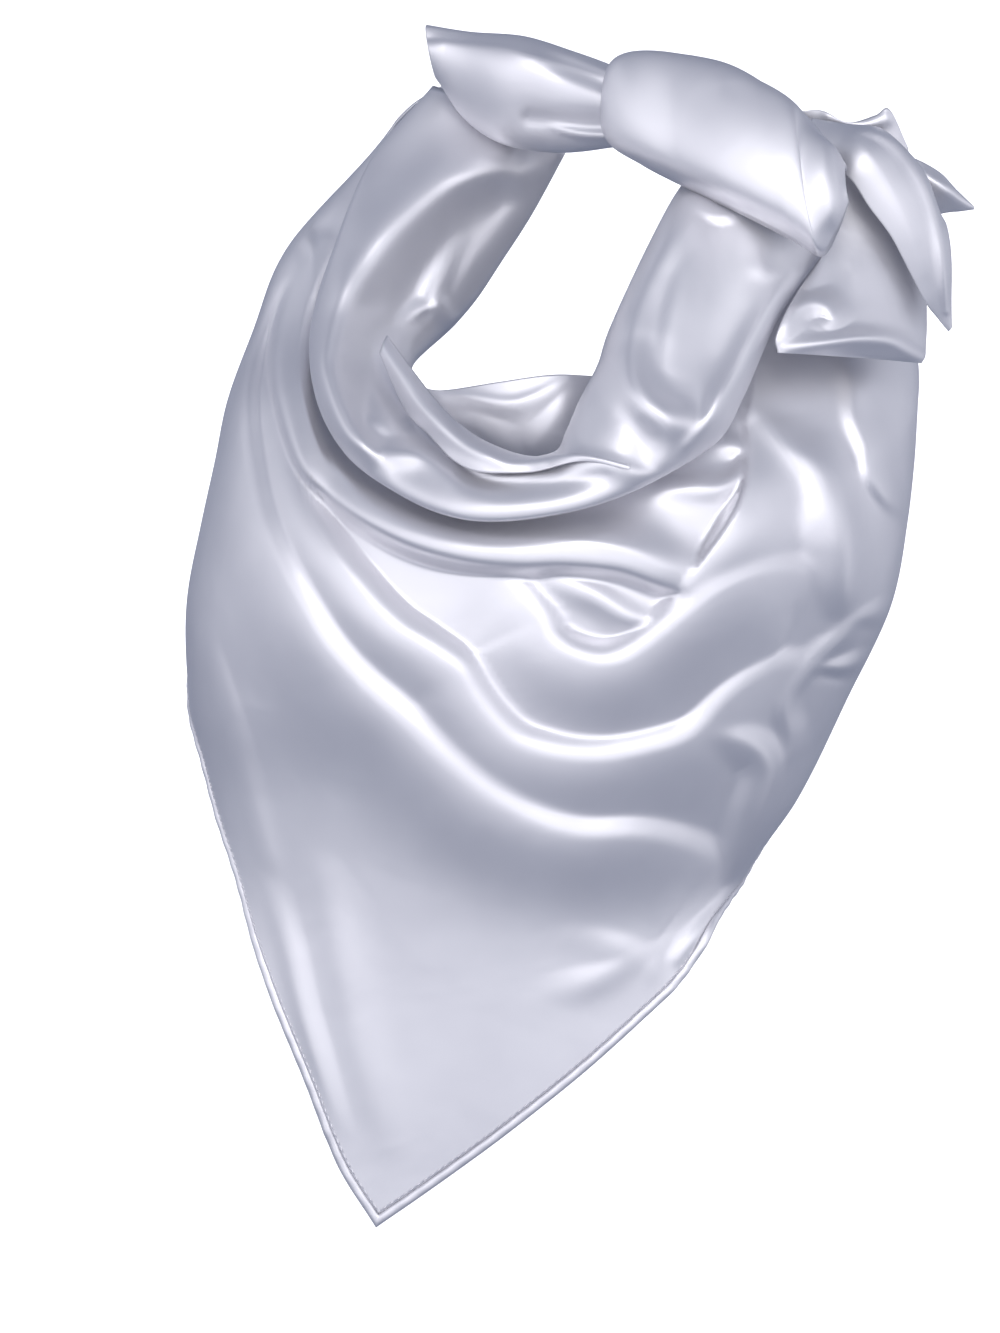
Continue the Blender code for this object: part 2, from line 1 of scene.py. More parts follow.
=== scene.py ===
"""A neckerchief: one square of satin folded on its diagonal, worn round a neck and knotted.

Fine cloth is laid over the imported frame. Metres, +Z up, with the origin in the middle of the neck
opening and -Y towards the side that the folds are drawn from.
"""

import math
from collections import namedtuple

import bpy
import numpy as np
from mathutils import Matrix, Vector


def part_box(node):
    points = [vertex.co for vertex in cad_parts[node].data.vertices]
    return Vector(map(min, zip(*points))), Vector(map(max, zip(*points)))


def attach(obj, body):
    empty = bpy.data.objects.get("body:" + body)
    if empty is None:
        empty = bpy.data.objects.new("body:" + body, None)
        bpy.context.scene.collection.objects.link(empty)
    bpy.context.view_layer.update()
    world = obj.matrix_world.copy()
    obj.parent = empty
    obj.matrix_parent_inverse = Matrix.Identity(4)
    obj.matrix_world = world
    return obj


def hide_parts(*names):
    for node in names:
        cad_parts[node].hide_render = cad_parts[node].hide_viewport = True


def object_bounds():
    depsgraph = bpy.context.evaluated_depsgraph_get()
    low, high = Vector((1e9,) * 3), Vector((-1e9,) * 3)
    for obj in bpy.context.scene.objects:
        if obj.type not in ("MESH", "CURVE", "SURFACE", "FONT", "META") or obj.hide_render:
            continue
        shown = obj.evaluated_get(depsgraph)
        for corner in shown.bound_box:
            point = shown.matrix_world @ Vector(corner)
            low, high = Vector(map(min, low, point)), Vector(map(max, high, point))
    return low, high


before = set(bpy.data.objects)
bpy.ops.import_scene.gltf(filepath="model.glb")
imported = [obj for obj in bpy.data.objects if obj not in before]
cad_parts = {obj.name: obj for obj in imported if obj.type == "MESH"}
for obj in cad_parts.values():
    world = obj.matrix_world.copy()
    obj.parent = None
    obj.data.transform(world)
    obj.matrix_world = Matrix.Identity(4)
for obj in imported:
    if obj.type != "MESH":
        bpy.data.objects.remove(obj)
cad_low, cad_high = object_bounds()

# The drape: the hanging part of the folded square, two layers of satin that lie as one. It goes
# round both shoulders from behind the knot to the nape, falls to the point in front, and sags into
# long folds below the collar, which it is one piece with.
SQUARE_SIDE = 0.70
TRIANGLE_HEIGHT = SQUARE_SIDE * math.sqrt(0.5)
VIEW_RISE = math.radians(15)
DRAPE_DROP = 0.458
DRAPE_DEPTH = 0.132
FOLD_RISE = 0.017
FOLD_SAG = 0.08
SHOULDER = 0.17
CLOTH = 0.0013
POINT_TURN = -28.6
FOLD_STEPS = 160
FOLD_SPREAD = 2.5
FOLD_START = 0.05
FOLDS_FULL_TURN = 65
FOLDS_END_TURN = 100
CREST_BREADTH = 0.006
COLLAR_FOOT = -0.230
WELD_GAP = 1e-6
THREAD_STEP = 0.0004
DRAPE_FLAT = (0.80, 0.45)
VALLEY_SHARPNESS = 5
DRAPE_SPANS = [(-150, 22), (-85, 50), (POINT_TURN, 112), (85, 22)]
DRAPE_ROWS = 200
ROW_GROWTH = 1.15

Section = namedtuple("Section", "up centre reach back front")
SECTIONS = [
    Section(0.140, 0.070, 0.220, 0.170, 0.40),
    Section(0.040, 0.061, 0.308, 0.150, 0.49),
    Section(-0.040, 0.058, 0.338, 0.125, 0.67),
    Section(-0.110, 0.043, 0.348, 0.085, 0.84),
    Section(-0.170, 0.035, 0.352, 0.055, 0.94),
    Section(-0.230, 0.025, 0.355, 0.030, 1.00),
    Section(-0.310, 0.010, 0.355, 0.012, 1.00),
    Section(-0.410, -0.012, 0.331, 0.000, 0.97),
    Section(-0.510, -0.030, 0.300, 0.000, 0.94),
    Section(-0.595, -0.048, 0.262, -0.050, 0.71),
    Section(-0.710, -0.044, 0.256, -0.120, 0.42),
    Section(-0.810, -0.040, 0.250, -0.148, 0.31),
    Section(-0.925, -0.037, 0.240, -0.166, 0.23),
]
Tuck = namedtuple("Tuck", "turn across up depth")
UPPER_EDGE = [
    Tuck(-150, -0.080, 0.215, 0.220),
    Tuck(-120, -0.125, 0.185, 0.200),
    Tuck(-90, -0.152, 0.140, 0.160),
    Tuck(-75, -0.178, 0.075, 0.110),
    Tuck(-60, -0.195, 0.005, 0.060),
    Tuck(-50, -0.200, -0.052, 0.015),
    Tuck(-42, -0.192, -0.108, -0.050),
    Tuck(-34, -0.170, -0.150, -0.110),
    Tuck(-25, -0.130, -0.182, -0.160),
    Tuck(-15, -0.082, -0.202, -0.195),
    Tuck(-5, -0.030, -0.210, -0.212),
    Tuck(5, 0.030, -0.206, -0.214),
    Tuck(15, 0.082, -0.192, -0.205),
    Tuck(25, 0.130, -0.168, -0.182),
    Tuck(33, 0.170, -0.136, -0.148),
    Tuck(42, 0.196, -0.095, -0.100),
    Tuck(50, 0.215, -0.050, -0.060),
    Tuck(60, 0.238, -0.010, -0.025),
    Tuck(75, 0.265, 0.030, 0.015),
    Tuck(90, 0.290, 0.065, 0.055),
    Tuck(120, 0.290, 0.120, 0.110),
    Tuck(150, 0.230, 0.140, 0.150),
]
Edge = namedtuple("Edge", "turn up")
LEFT_HEM = [
    Edge(-150, 0.130),
    Edge(-130, -0.060),
    Edge(-110, -0.260),
    Edge(-90, -0.410),
    Edge(-82, -0.440),
    Edge(-76, -0.475),
    Edge(-70, -0.555),
    Edge(-67, -0.595),
    Edge(-55, -0.700),
    Edge(-45.4, -0.785),
    Edge(-37, -0.870),
    Edge(POINT_TURN, -0.925),
]
RIGHT_HEM = [
    Edge(POINT_TURN, -0.925),
    Edge(-22.6, -0.910),
    Edge(-5, -0.860),
    Edge(16.4, -0.790),
    Edge(37, -0.720),
    Edge(53, -0.670),
    Edge(63, -0.632),
    Edge(75, -0.605),
    Edge(90, -0.575),
    Edge(110, -0.450),
    Edge(130, -0.220),
    Edge(150, 0.040),
]
Crest = namedtuple("Crest", "across up rise over under")
Fold = namedtuple("Fold", "crests over_fall under_fall tucked", defaults=(2, 2, False))
DRAPE_FOLDS = {
    "under_collar": Fold([
        Crest(-0.206, 0.037, 0.35, 0.018, 0.022),
        Crest(-0.229, -0.014, 0.70, 0.019, 0.024),
        Crest(-0.234, -0.083, 1.05, 0.020, 0.026),
        Crest(-0.213, -0.158, 1.29, 0.021, 0.028),
        Crest(-0.184, -0.186, 1.08, 0.023, 0.032),
        Crest(-0.146, -0.212, 1.08, 0.023, 0.034),
        Crest(-0.108, -0.231, 1.08, 0.024, 0.035),
        Crest(-0.063, -0.244, 1.08, 0.025, 0.035),
        Crest(-0.015, -0.250, 1.08, 0.025, 0.034),
        Crest(0.033, -0.251, 0.99, 0.025, 0.032),
        Crest(0.090, -0.260, 0.90, 0.025, 0.028),
        Crest(0.134, -0.278, 0.72, 0.025, 0.024),
        Crest(0.176, -0.294, 0.36, 0.025, 0.020),
    ], under_fall=6),
    "long_outer": Fold([
        Crest(-0.229, 0.022, 0.40, 0.018, 0.040),
        Crest(-0.247, 0.019, 0.57, 0.020, 0.043),
        Crest(-0.265, 0.004, 0.75, 0.022, 0.045),
        Crest(-0.280, -0.024, 0.86, 0.024, 0.048),
        Crest(-0.292, -0.062, 0.92, 0.026, 0.051),
        Crest(-0.296, -0.110, 0.92, 0.028, 0.053),
        Crest(-0.291, -0.158, 0.87, 0.030, 0.056),
        Crest(-0.267, -0.244, 0.80, 0.032, 0.059),
        Crest(-0.216, -0.340, 0.76, 0.032, 0.061),
        Crest(-0.178, -0.387, 0.71, 0.032, 0.064),
        Crest(-0.133, -0.429, 0.71, 0.032, 0.064),
        Crest(-0.089, -0.473, 0.71, 0.032, 0.064),
        Crest(-0.044, -0.509, 0.71, 0.032, 0.064),
        Crest(0.001, -0.534, 0.71, 0.032, 0.064),
        Crest(0.049, -0.548, 0.71, 0.032, 0.064),
        Crest(0.104, -0.549, 0.71, 0.032, 0.064),
        Crest(0.142, -0.556, 0.59, 0.029, 0.064),
        Crest(0.174, -0.569, 0.40, 0.026, 0.053),
        Crest(0.196, -0.586, 0.22, 0.022, 0.040),
    ], tucked=True),
    "middle": Fold([
        Crest(-0.245, -0.120, 0.34, 0.022, 0.041),
        Crest(-0.242, -0.167, 0.47, 0.023, 0.044),
        Crest(-0.232, -0.202, 0.56, 0.025, 0.047),
        Crest(-0.216, -0.237, 0.62, 0.026, 0.050),
        Crest(-0.191, -0.276, 0.67, 0.027, 0.053),
        Crest(-0.143, -0.333, 0.72, 0.029, 0.056),
        Crest(-0.108, -0.359, 0.69, 0.030, 0.058),
        Crest(-0.079, -0.381, 0.69, 0.031, 0.061),
        Crest(-0.063, -0.407, 0.69, 0.032, 0.064),
        Crest(-0.044, -0.432, 0.69, 0.032, 0.066),
        Crest(-0.018, -0.455, 0.69, 0.032, 0.066),
        Crest(0.017, -0.467, 0.69, 0.032, 0.066),
        Crest(0.052, -0.472, 0.69, 0.032, 0.066),
        Crest(0.090, -0.470, 0.69, 0.032, 0.066),
        Crest(0.149, -0.456, 0.66, 0.031, 0.066),
        Crest(0.174, -0.441, 0.57, 0.030, 0.066),
        Crest(0.200, -0.413, 0.48, 0.028, 0.061),
        Crest(0.225, -0.394, 0.39, 0.026, 0.054),
        Crest(0.251, -0.381, 0.30, 0.024, 0.047),
        Crest(0.274, -0.384, 0.21, 0.022, 0.041),
    ], tucked=True),
    "upper_bowl": Fold([
        Crest(-0.030, -0.290, 0.21, 0.020, 0.041),
        Crest(-0.012, -0.304, 0.30, 0.022, 0.045),
        Crest(0.007, -0.328, 0.40, 0.024, 0.050),
        Crest(0.017, -0.350, 0.50, 0.025, 0.054),
        Crest(0.036, -0.366, 0.60, 0.027, 0.059),
        Crest(0.066, -0.376, 0.69, 0.029, 0.063),
        Crest(0.093, -0.373, 0.69, 0.030, 0.066),
        Crest(0.120, -0.357, 0.69, 0.030, 0.066),
        Crest(0.149, -0.333, 0.69, 0.030, 0.066),
        Crest(0.170, -0.316, 0.69, 0.030, 0.066),
        Crest(0.193, -0.301, 0.69, 0.030, 0.066),
        Crest(0.225, -0.287, 0.63, 0.029, 0.066),
        Crest(0.257, -0.282, 0.48, 0.026, 0.059),
        Crest(0.282, -0.289, 0.35, 0.023, 0.050),
        Crest(0.308, -0.310, 0.21, 0.020, 0.041),
    ], tucked=True),
    "bowl_ripple": Fold([
        Crest(0.006, -0.284, 0.06, 0.012, 0.014),
        Crest(0.034, -0.294, 0.24, 0.013, 0.017),
        Crest(0.066, -0.307, 0.36, 0.013, 0.017),
        Crest(0.098, -0.326, 0.36, 0.013, 0.017),
        Crest(0.123, -0.331, 0.24, 0.012, 0.014),
        Crest(0.139, -0.323, 0.06, 0.012, 0.012),
    ]),
    "right_edge": Fold([
        Crest(0.224, -0.132, 0.24, 0.045, 0.015),
        Crest(0.228, -0.160, 0.48, 0.050, 0.015),
        Crest(0.225, -0.187, 0.72, 0.055, 0.015),
        Crest(0.215, -0.216, 0.80, 0.060, 0.015),
        Crest(0.199, -0.245, 0.80, 0.060, 0.015),
        Crest(0.180, -0.273, 0.72, 0.055, 0.015),
        Crest(0.161, -0.301, 0.56, 0.045, 0.015),
        Crest(0.139, -0.325, 0.32, 0.030, 0.015),
        Crest(0.110, -0.345, 0.08, 0.020, 0.015),
    ], under_fall=5),
    "pocket_curl": Fold([
        Crest(0.138, -0.195, 0.18, 0.012, 0.014),
        Crest(0.165, -0.198, 0.30, 0.012, 0.014),
        Crest(0.190, -0.197, 0.36, 0.012, 0.014),
        Crest(0.207, -0.188, 0.42, 0.012, 0.014),
        Crest(0.216, -0.174, 0.42, 0.012, 0.014),
        Crest(0.212, -0.160, 0.36, 0.012, 0.012),
        Crest(0.190, -0.151, 0.18, 0.012, 0.012),
    ]),
    "right_slope": Fold([
        Crest(0.228, -0.128, 0.30, 0.018, 0.024),
        Crest(0.257, -0.155, 0.60, 0.019, 0.031),
        Crest(0.286, -0.174, 0.80, 0.021, 0.038),
        Crest(0.302, -0.196, 0.90, 0.021, 0.043),
        Crest(0.311, -0.228, 1.00, 0.021, 0.043),
        Crest(0.316, -0.260, 1.00, 0.021, 0.041),
        Crest(0.315, -0.297, 0.80, 0.021, 0.034),
        Crest(0.314, -0.330, 0.30, 0.018, 0.024),
    ], over_fall=1.7, under_fall=1.7),
    "shoulder_line": Fold([
        Crest(0.312, -0.060, 0.16, 0.024, 0.014),
        Crest(0.324, -0.090, 0.39, 0.024, 0.014),
        Crest(0.327, -0.125, 0.47, 0.026, 0.014),
        Crest(0.338, -0.156, 0.55, 0.026, 0.014),
        Crest(0.342, -0.183, 0.55, 0.024, 0.014),
        Crest(0.359, -0.206, 0.47, 0.020, 0.013),
        Crest(0.376, -0.219, 0.23, 0.016, 0.012),
    ]),
    "edge_wrinkle": Fold([
        Crest(0.366, -0.322, 0.21, 0.012, 0.014),
        Crest(0.327, -0.327, 0.35, 0.012, 0.014),
        Crest(0.311, -0.346, 0.42, 0.012, 0.014),
        Crest(0.286, -0.371, 0.35, 0.012, 0.014),
        Crest(0.262, -0.398, 0.35, 0.013, 0.014),
        Crest(0.254, -0.420, 0.42, 0.014, 0.014),
        Crest(0.260, -0.446, 0.42, 0.013, 0.014),
        Crest(0.254, -0.480, 0.35, 0.012, 0.014),
        Crest(0.245, -0.515, 0.14, 0.012, 0.012),
    ]),
    "edge_ripple": Fold([
        Crest(0.344, -0.368, 0.2, 0.008, 0.010),
        Crest(0.315, -0.376, 0.4, 0.008, 0.010),
        Crest(0.286, -0.375, 0.3, 0.008, 0.010),
    ]),
    "right_curl": Fold([
        Crest(0.160, -0.446, 0.20, 0.018, 0.020),
        Crest(0.190, -0.445, 0.50, 0.018, 0.026),
        Crest(0.216, -0.451, 0.80, 0.017, 0.030),
        Crest(0.234, -0.465, 0.90, 0.016, 0.032),
        Crest(0.238, -0.485, 0.90, 0.016, 0.032),
        Crest(0.231, -0.512, 0.90, 0.016, 0.030),
        Crest(0.221, -0.541, 0.80, 0.016, 0.026),
        Crest(0.208, -0.572, 0.60, 0.016, 0.020),
        Crest(0.190, -0.596, 0.20, 0.013, 0.014),
    ]),
    "left_streak": Fold([
        Crest(-0.318, -0.330, 0.04, 0.012, 0.014),
        Crest(-0.309, -0.381, 0.12, 0.013, 0.016),
        Crest(-0.296, -0.429, 0.12, 0.013, 0.017),
        Crest(-0.286, -0.477, 0.12, 0.013, 0.017),
        Crest(-0.274, -0.525, 0.12, 0.012, 0.017),
        Crest(-0.262, -0.570, 0.08, 0.012, 0.014),
    ]),
    "hem_crease": Fold([
        Crest(-0.262, -0.590, 0.04, 0.012, 0.011),
        Crest(-0.245, -0.650, 0.12, 0.014, 0.011),
        Crest(-0.230, -0.710, 0.12, 0.014, 0.011),
        Crest(-0.212, -0.770, 0.12, 0.014, 0.011),
        Crest(-0.192, -0.830, 0.04, 0.012, 0.011),
    ]),
    "low_left": Fold([
        Crest(-0.205, -0.590, 0.04, 0.020, 0.020),
        Crest(-0.185, -0.680, 0.12, 0.024, 0.022),
        Crest(-0.165, -0.770, 0.12, 0.024, 0.022),
        Crest(-0.140, -0.850, 0.04, 0.020, 0.020),
    ]),
    "low_right": Fold([
        Crest(0.000, -0.640, 0.03, 0.017, 0.022),
        Crest(0.050, -0.640, 0.10, 0.017, 0.024),
        Crest(0.090, -0.655, 0.14, 0.017, 0.024),
        Crest(0.118, -0.672, 0.07, 0.014, 0.019),
    ]),
    "low_ripple": Fold([
        Crest(0.020, -0.700, 0.03, 0.014, 0.017),
        Crest(0.060, -0.690, 0.10, 0.014, 0.017),
        Crest(0.100, -0.668, 0.10, 0.014, 0.017),
        Crest(0.130, -0.655, 0.03, 0.014, 0.014),
    ]),
    "shoulder_band": Fold([
        Crest(-0.218, 0.070, 0.1, 0.014, 0.016),
        Crest(-0.195, 0.095, 0.5, 0.014, 0.016),
        Crest(-0.168, 0.118, 0.4, 0.014, 0.016),
    ]),
    "shoulder_hook": Fold([
        Crest(-0.240, 0.062, 0.2, 0.009, 0.010),
        Crest(-0.230, 0.060, 0.5, 0.009, 0.010),
        Crest(-0.219, 0.044, 0.5, 0.009, 0.010),
        Crest(-0.221, 0.026, 0.2, 0.009, 0.010),
    ]),
    "hem_pucker": Fold([
        Crest(0.150, -0.665, 0.12, 0.010, 0.010),
        Crest(0.172, -0.640, 0.30, 0.010, 0.010),
        Crest(0.194, -0.610, 0.30, 0.010, 0.010),
        Crest(0.210, -0.580, 0.18, 0.010, 0.010),
    ]),
}


def seen(across, up, depth):
    """A place from how it shows in the raised view, and how far it lies behind the neck's axis."""
    rise = (up - depth * math.sin(VIEW_RISE)) / math.cos(VIEW_RISE)
    return np.stack(np.broadcast_arrays(across, depth, rise), axis=-1)


def towards_view():
    return np.array((0.0, -math.cos(VIEW_RISE), math.sin(VIEW_RISE)))


def down_the_view():
    return np.array((0.0, -math.sin(VIEW_RISE), -math.cos(VIEW_RISE)))


def through(places, values, at):
    """A smooth curve through a table's values, read at any place along it."""
    places = np.asarray(places, float)
    values = np.asarray(values, float)
    slopes = np.gradient(values, places, axis=0)
    row = np.clip(np.searchsorted(places, at) - 1, 0, len(places) - 2)
    span = places[row + 1] - places[row]
    t = (np.asarray(at, float) - places[row]) / span
    if values.ndim > 1:
        t = t[..., None]
        span = span[..., None]
    start = values[row] * (2 * t**3 - 3 * t**2 + 1) + slopes[row] * span * (t**3 - 2 * t**2 + t)
    end = values[row + 1] * (3 * t**2 - 2 * t**3) + slopes[row + 1] * span * (t**3 - t**2)
    return start + end


def ease(low, high, value):
    """From 0 at low to 1 at high, level at both ends."""
    t = np.clip((value - low) / (high - low), 0, 1)
    return t * t * (3 - 2 * t)


def stretched(up):
    """A table's height, in metres: the drop below the collar follows the drape's own length."""
    foot = COLLAR_FOOT * TRIANGLE_HEIGHT
    table_drop = -SECTIONS[-1].up * TRIANGLE_HEIGHT
    stretch = (DRAPE_DROP + foot) / (table_drop + foot)
    height = np.asarray(up) * TRIANGLE_HEIGHT
    return np.where(height < foot, foot + (height - foot) * stretch, height)


def relief(across, up, folds):
    """How far the folds lift the cloth at each place, as a share of their rise.

    A soft fold runs out gently on both sides. A tucked one ends sharply on its over side, where
    it slips under the fold above. Folds that meet are joined by a sharp valley, and only hollows
    are added to what lies there.
    """
    places = np.stack((across, up), axis=-1).reshape(-1, 2)
    raised = np.zeros(len(places))
    hollow = np.zeros(len(places))
    for fold in folds.values():
        rows = np.array(fold.crests)
        line = through(range(len(rows)), rows, np.linspace(0, len(rows) - 1, FOLD_STEPS))
        course = np.gradient(line, axis=0)
        reach_most = FOLD_SPREAD * line[:, 3:].max()
        low = line[:, :2].min(0) - reach_most
        high = line[:, :2].max(0) + reach_most
        close = np.flatnonzero(((places > low) & (places < high)).all(1))
        apart = places[close][:, None, :] - line[None, :, :2]
        nearest = np.argmin((apart**2).sum(-1), axis=1)
        offset = apart[np.arange(len(close)), nearest]
        along = course[nearest, :2]
        step = np.clip((offset * along).sum(-1) / (along**2).sum(-1), -0.5, 0.5)
        crest = line[nearest] + course[nearest] * step[:, None]
        offset = offset - along * step[:, None]
        aside = along[:, 0] * offset[:, 1] - along[:, 1] * offset[:, 0]
        aside /= np.linalg.norm(along, axis=1)
        blend = np.clip(aside / CREST_BREADTH, -1, 1) / 2 + 0.5
        reach = crest[:, 3] * blend + crest[:, 4] * (1 - blend)
        fall = fold.over_fall * blend + fold.under_fall * (1 - blend)
        share = np.linalg.norm(offset, axis=1) / reach
        soft = np.exp(-share**fall)
        arch = np.clip(1 - share**fall, 0, 1) * blend + soft * (1 - blend)
        lift = crest[:, 2] * (arch if fold.tucked else soft)
        raised[close] += np.maximum(lift, 0) ** VALLEY_SHARPNESS
        hollow[close] += np.minimum(lift, 0)
    return (raised ** (1 / VALLEY_SHARPNESS) + hollow).reshape(np.shape(across))


def level_section(turn, up):
    """How far across and how deep the hanging cloth lies, at a turn and a height."""
    rows = np.array(SECTIONS)[::-1]
    section = through(rows[:, 0], rows[:, 1:], up)
    angle = np.radians(turn)
    across = section[..., 0] + section[..., 1] * np.sin(angle)
    depth = section[..., 2] * TRIANGLE_HEIGHT - section[..., 3] * DRAPE_DEPTH * np.cos(angle)
    return across, depth


def drape_surface(turn, down):
    """Places on the drape: turn is in degrees round the body, down runs from 0 at the top to 1."""
    hem_left = through([e.turn for e in LEFT_HEM], [e.up for e in LEFT_HEM], turn)
    hem_right = through([e.turn for e in RIGHT_HEM], [e.up for e in RIGHT_HEM], turn)
    hem = np.where(turn < POINT_TURN, hem_left, hem_right)
    tuck = np.array(UPPER_EDGE)
    upper = through(tuck[:, 0], tuck[:, 1:], turn)
    top = upper[..., 1]
    up = top + (hem - top) * down
    hung = level_section(turn, up)
    start = level_section(turn, top)
    fall = 1 - ease(0, SHOULDER, top - up)
    across = hung[0] + (upper[..., 0] - start[0]) * fall
    depth = hung[1] + (upper[..., 2] * TRIANGLE_HEIGHT - start[1]) * fall
    shown = ease(FOLDS_END_TURN, FOLDS_FULL_TURN, np.abs(turn))
    shown = shown * ease(0, FOLD_START, top - up)
    lift = relief(across, up, DRAPE_FOLDS) * FOLD_RISE * shown
    place = seen(across * TRIANGLE_HEIGHT, stretched(up), depth)
    return place + lift[..., None] * (towards_view() + FOLD_SAG * down_the_view())


def drape_turns(finer=1):
    """The turns of the drape's columns, closer together where the folds are."""
    starts = [start for start, _ in DRAPE_SPANS] + [RIGHT_HEM[-1].turn]
    turns = [
        np.linspace(start, end, count * finer, endpoint=False)
        for start, end, (_, count) in zip(starts, starts[1:], DRAPE_SPANS)
    ]
    return np.concatenate((*turns, [starts[-1]]))


def cloth(name, points, closed=False, wall=CLOTH):
    """A grid moved to rows of points, given a wall behind its face, smooth and with its own UVs."""
    rows, columns = points.shape[:2]
    bpy.ops.object.select_all(action="DESELECT")
    bpy.ops.mesh.primitive_grid_add(x_subdivisions=columns - 1, y_subdivisions=rows - 1, size=1)
    piece = bpy.context.object
    piece.name = name
    piece.data.name = name
    piece.data.vertices.foreach_set("co", points.astype(np.float32).ravel())
    piece.data.update()
    ahead = Vector(towards_view())
    faces = sorted(piece.data.polygons, key=lambda face: face.center.dot(ahead))
    if sum(face.normal.dot(ahead) * face.area for face in faces[len(faces) // 2:]) < 0:
        piece.data.flip_normals()
    if closed:
        bpy.ops.object.mode_set(mode="EDIT")
        bpy.ops.mesh.select_all(action="SELECT")
        bpy.ops.mesh.remove_doubles(threshold=WELD_GAP)
        bpy.ops.object.mode_set(mode="OBJECT")
    if wall:
        bpy.ops.object.modifier_add(type="SOLIDIFY")
        piece.modifiers[-1].thickness = wall
        piece.modifiers[-1].offset = -1
        bpy.ops.object.modifier_apply(modifier=piece.modifiers[-1].name)
    bpy.ops.object.shade_smooth()
    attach(piece, "root")
    return piece


def satin(name, flat):
    """Pale satin: a soft metallic sheen, fine warp threads on its UV map and faint crinkles."""
    material = bpy.data.materials.new(name)
    material.use_nodes = True
    nodes = material.node_tree.nodes
    link = material.node_tree.links.new
    shader = nodes["Principled BSDF"]
    shader.inputs["Metallic"].default_value = 0.7
    shader.inputs["Roughness"].default_value = 0.42
    shader.inputs["Anisotropic"].default_value = 0.3
    place = nodes.new("ShaderNodeTexCoord")
    mottle = nodes.new("ShaderNodeTexNoise")
    mottle.inputs["Scale"].default_value = 14
    mottle.inputs["Detail"].default_value = 3
    link(place.outputs["Object"], mottle.inputs["Vector"])
    tone = nodes.new("ShaderNodeValToRGB")
    tone.color_ramp.elements[0].position = 0.35
    tone.color_ramp.elements[0].color = (0.705, 0.70, 0.735, 1)
    tone.color_ramp.elements[1].position = 0.65
    tone.color_ramp.elements[1].color = (0.76, 0.755, 0.785, 1)
    link(mottle.outputs["Fac"], tone.inputs["Fac"])
    link(tone.outputs["Color"], shader.inputs["Base Color"])
    crinkle = nodes.new("ShaderNodeTexNoise")
    crinkle.inputs["Scale"].default_value = 24
    crinkle.inputs["Detail"].default_value = 2
    crinkle.inputs["Distortion"].default_value = 0.6
    link(place.outputs["Object"], crinkle.inputs["Vector"])
    soft = nodes.new("ShaderNodeBump")
    soft.inputs["Strength"].default_value = 0.12
    soft.inputs["Distance"].default_value = 0.004
    link(crinkle.outputs["Fac"], soft.inputs["Height"])
    chart = nodes.new("ShaderNodeSeparateXYZ")
    link(place.outputs["UV"], chart.inputs["Vector"])
    thread = nodes.new("ShaderNodeMath")
    thread.operation = "MULTIPLY"
    thread.inputs[1].default_value = 2 * math.pi * flat[0] / THREAD_STEP
    link(chart.outputs["X"], thread.inputs[0])
    ridge = nodes.new("ShaderNodeMath")
    ridge.operation = "SINE"
    link(thread.outputs["Value"], ridge.inputs[0])
    weave = nodes.new("ShaderNodeBump")
    weave.inputs["Strength"].default_value = 0.15
    weave.inputs["Distance"].default_value = 0.00004
    link(ridge.outputs["Value"], weave.inputs["Height"])
    link(soft.outputs["Normal"], weave.inputs["Normal"])
    link(weave.outputs["Normal"], shader.inputs["Normal"])
    return material


downs = np.linspace(0, 1, DRAPE_ROWS + 1) ** ROW_GROWTH
drape = cloth("drape_cloth", drape_surface(*np.meshgrid(drape_turns(), downs)))
drape.data.materials.append(satin("drape_satin", DRAPE_FLAT))
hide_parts("drape")

# The collar: the folded edge, rolled over on itself into one thick soft roll round the front and
# both sides of the neck. It stands a little proud of the drape, and its ends run up to the knot.
COLLAR_FLAT = (0.16, 0.52)
COLLAR_BULGE = 0.016
COLLAR_BACK = 0.010
ROLL_FADE = 0.5
Station = namedtuple("Station", "out_across out_up out_depth in_across in_up in_depth bulge")
COLLAR = [
    Station(-0.098, 0.208, 0.190, 0.036, 0.140, 0.165, 0.6),
    Station(-0.158, 0.136, 0.135, 0.002, 0.078, 0.155, 0.9),
    Station(-0.196, 0.044, 0.055, -0.033, 0.025, 0.135, 1.1),
    Station(-0.219, -0.040, -0.005, -0.072, -0.030, 0.095, 1.2),
    Station(-0.212, -0.110, -0.095, -0.118, -0.078, 0.010, 1.0),
    Station(-0.181, -0.167, -0.165, -0.102, -0.122, -0.075, 0.8),
    Station(-0.127, -0.206, -0.218, -0.078, -0.150, -0.122, 0.8),
    Station(-0.079, -0.226, -0.252, -0.045, -0.168, -0.150, 0.8),
    Station(-0.030, -0.230, -0.264, -0.010, -0.178, -0.162, 0.8),
    Station(0.033, -0.222, -0.264, 0.030, -0.170, -0.165, 0.8),
    Station(0.082, -0.209, -0.252, 0.040, -0.145, -0.160, 1.0),
    Station(0.134, -0.185, -0.230, 0.050, -0.115, -0.150, 1.3),
    Station(0.187, -0.151, -0.190, 0.066, -0.080, -0.130, 1.6),
    Station(0.212, -0.109, -0.140, 0.077, -0.045, -0.105, 1.8),
    Station(0.248, -0.029, -0.065, 0.105, 0.018, -0.060, 1.7),
    Station(0.289, 0.031, 0.000, 0.135, 0.078, -0.015, 1.3),
    Station(0.320, 0.070, 0.040, 0.152, 0.106, 0.020, 0.9),
]
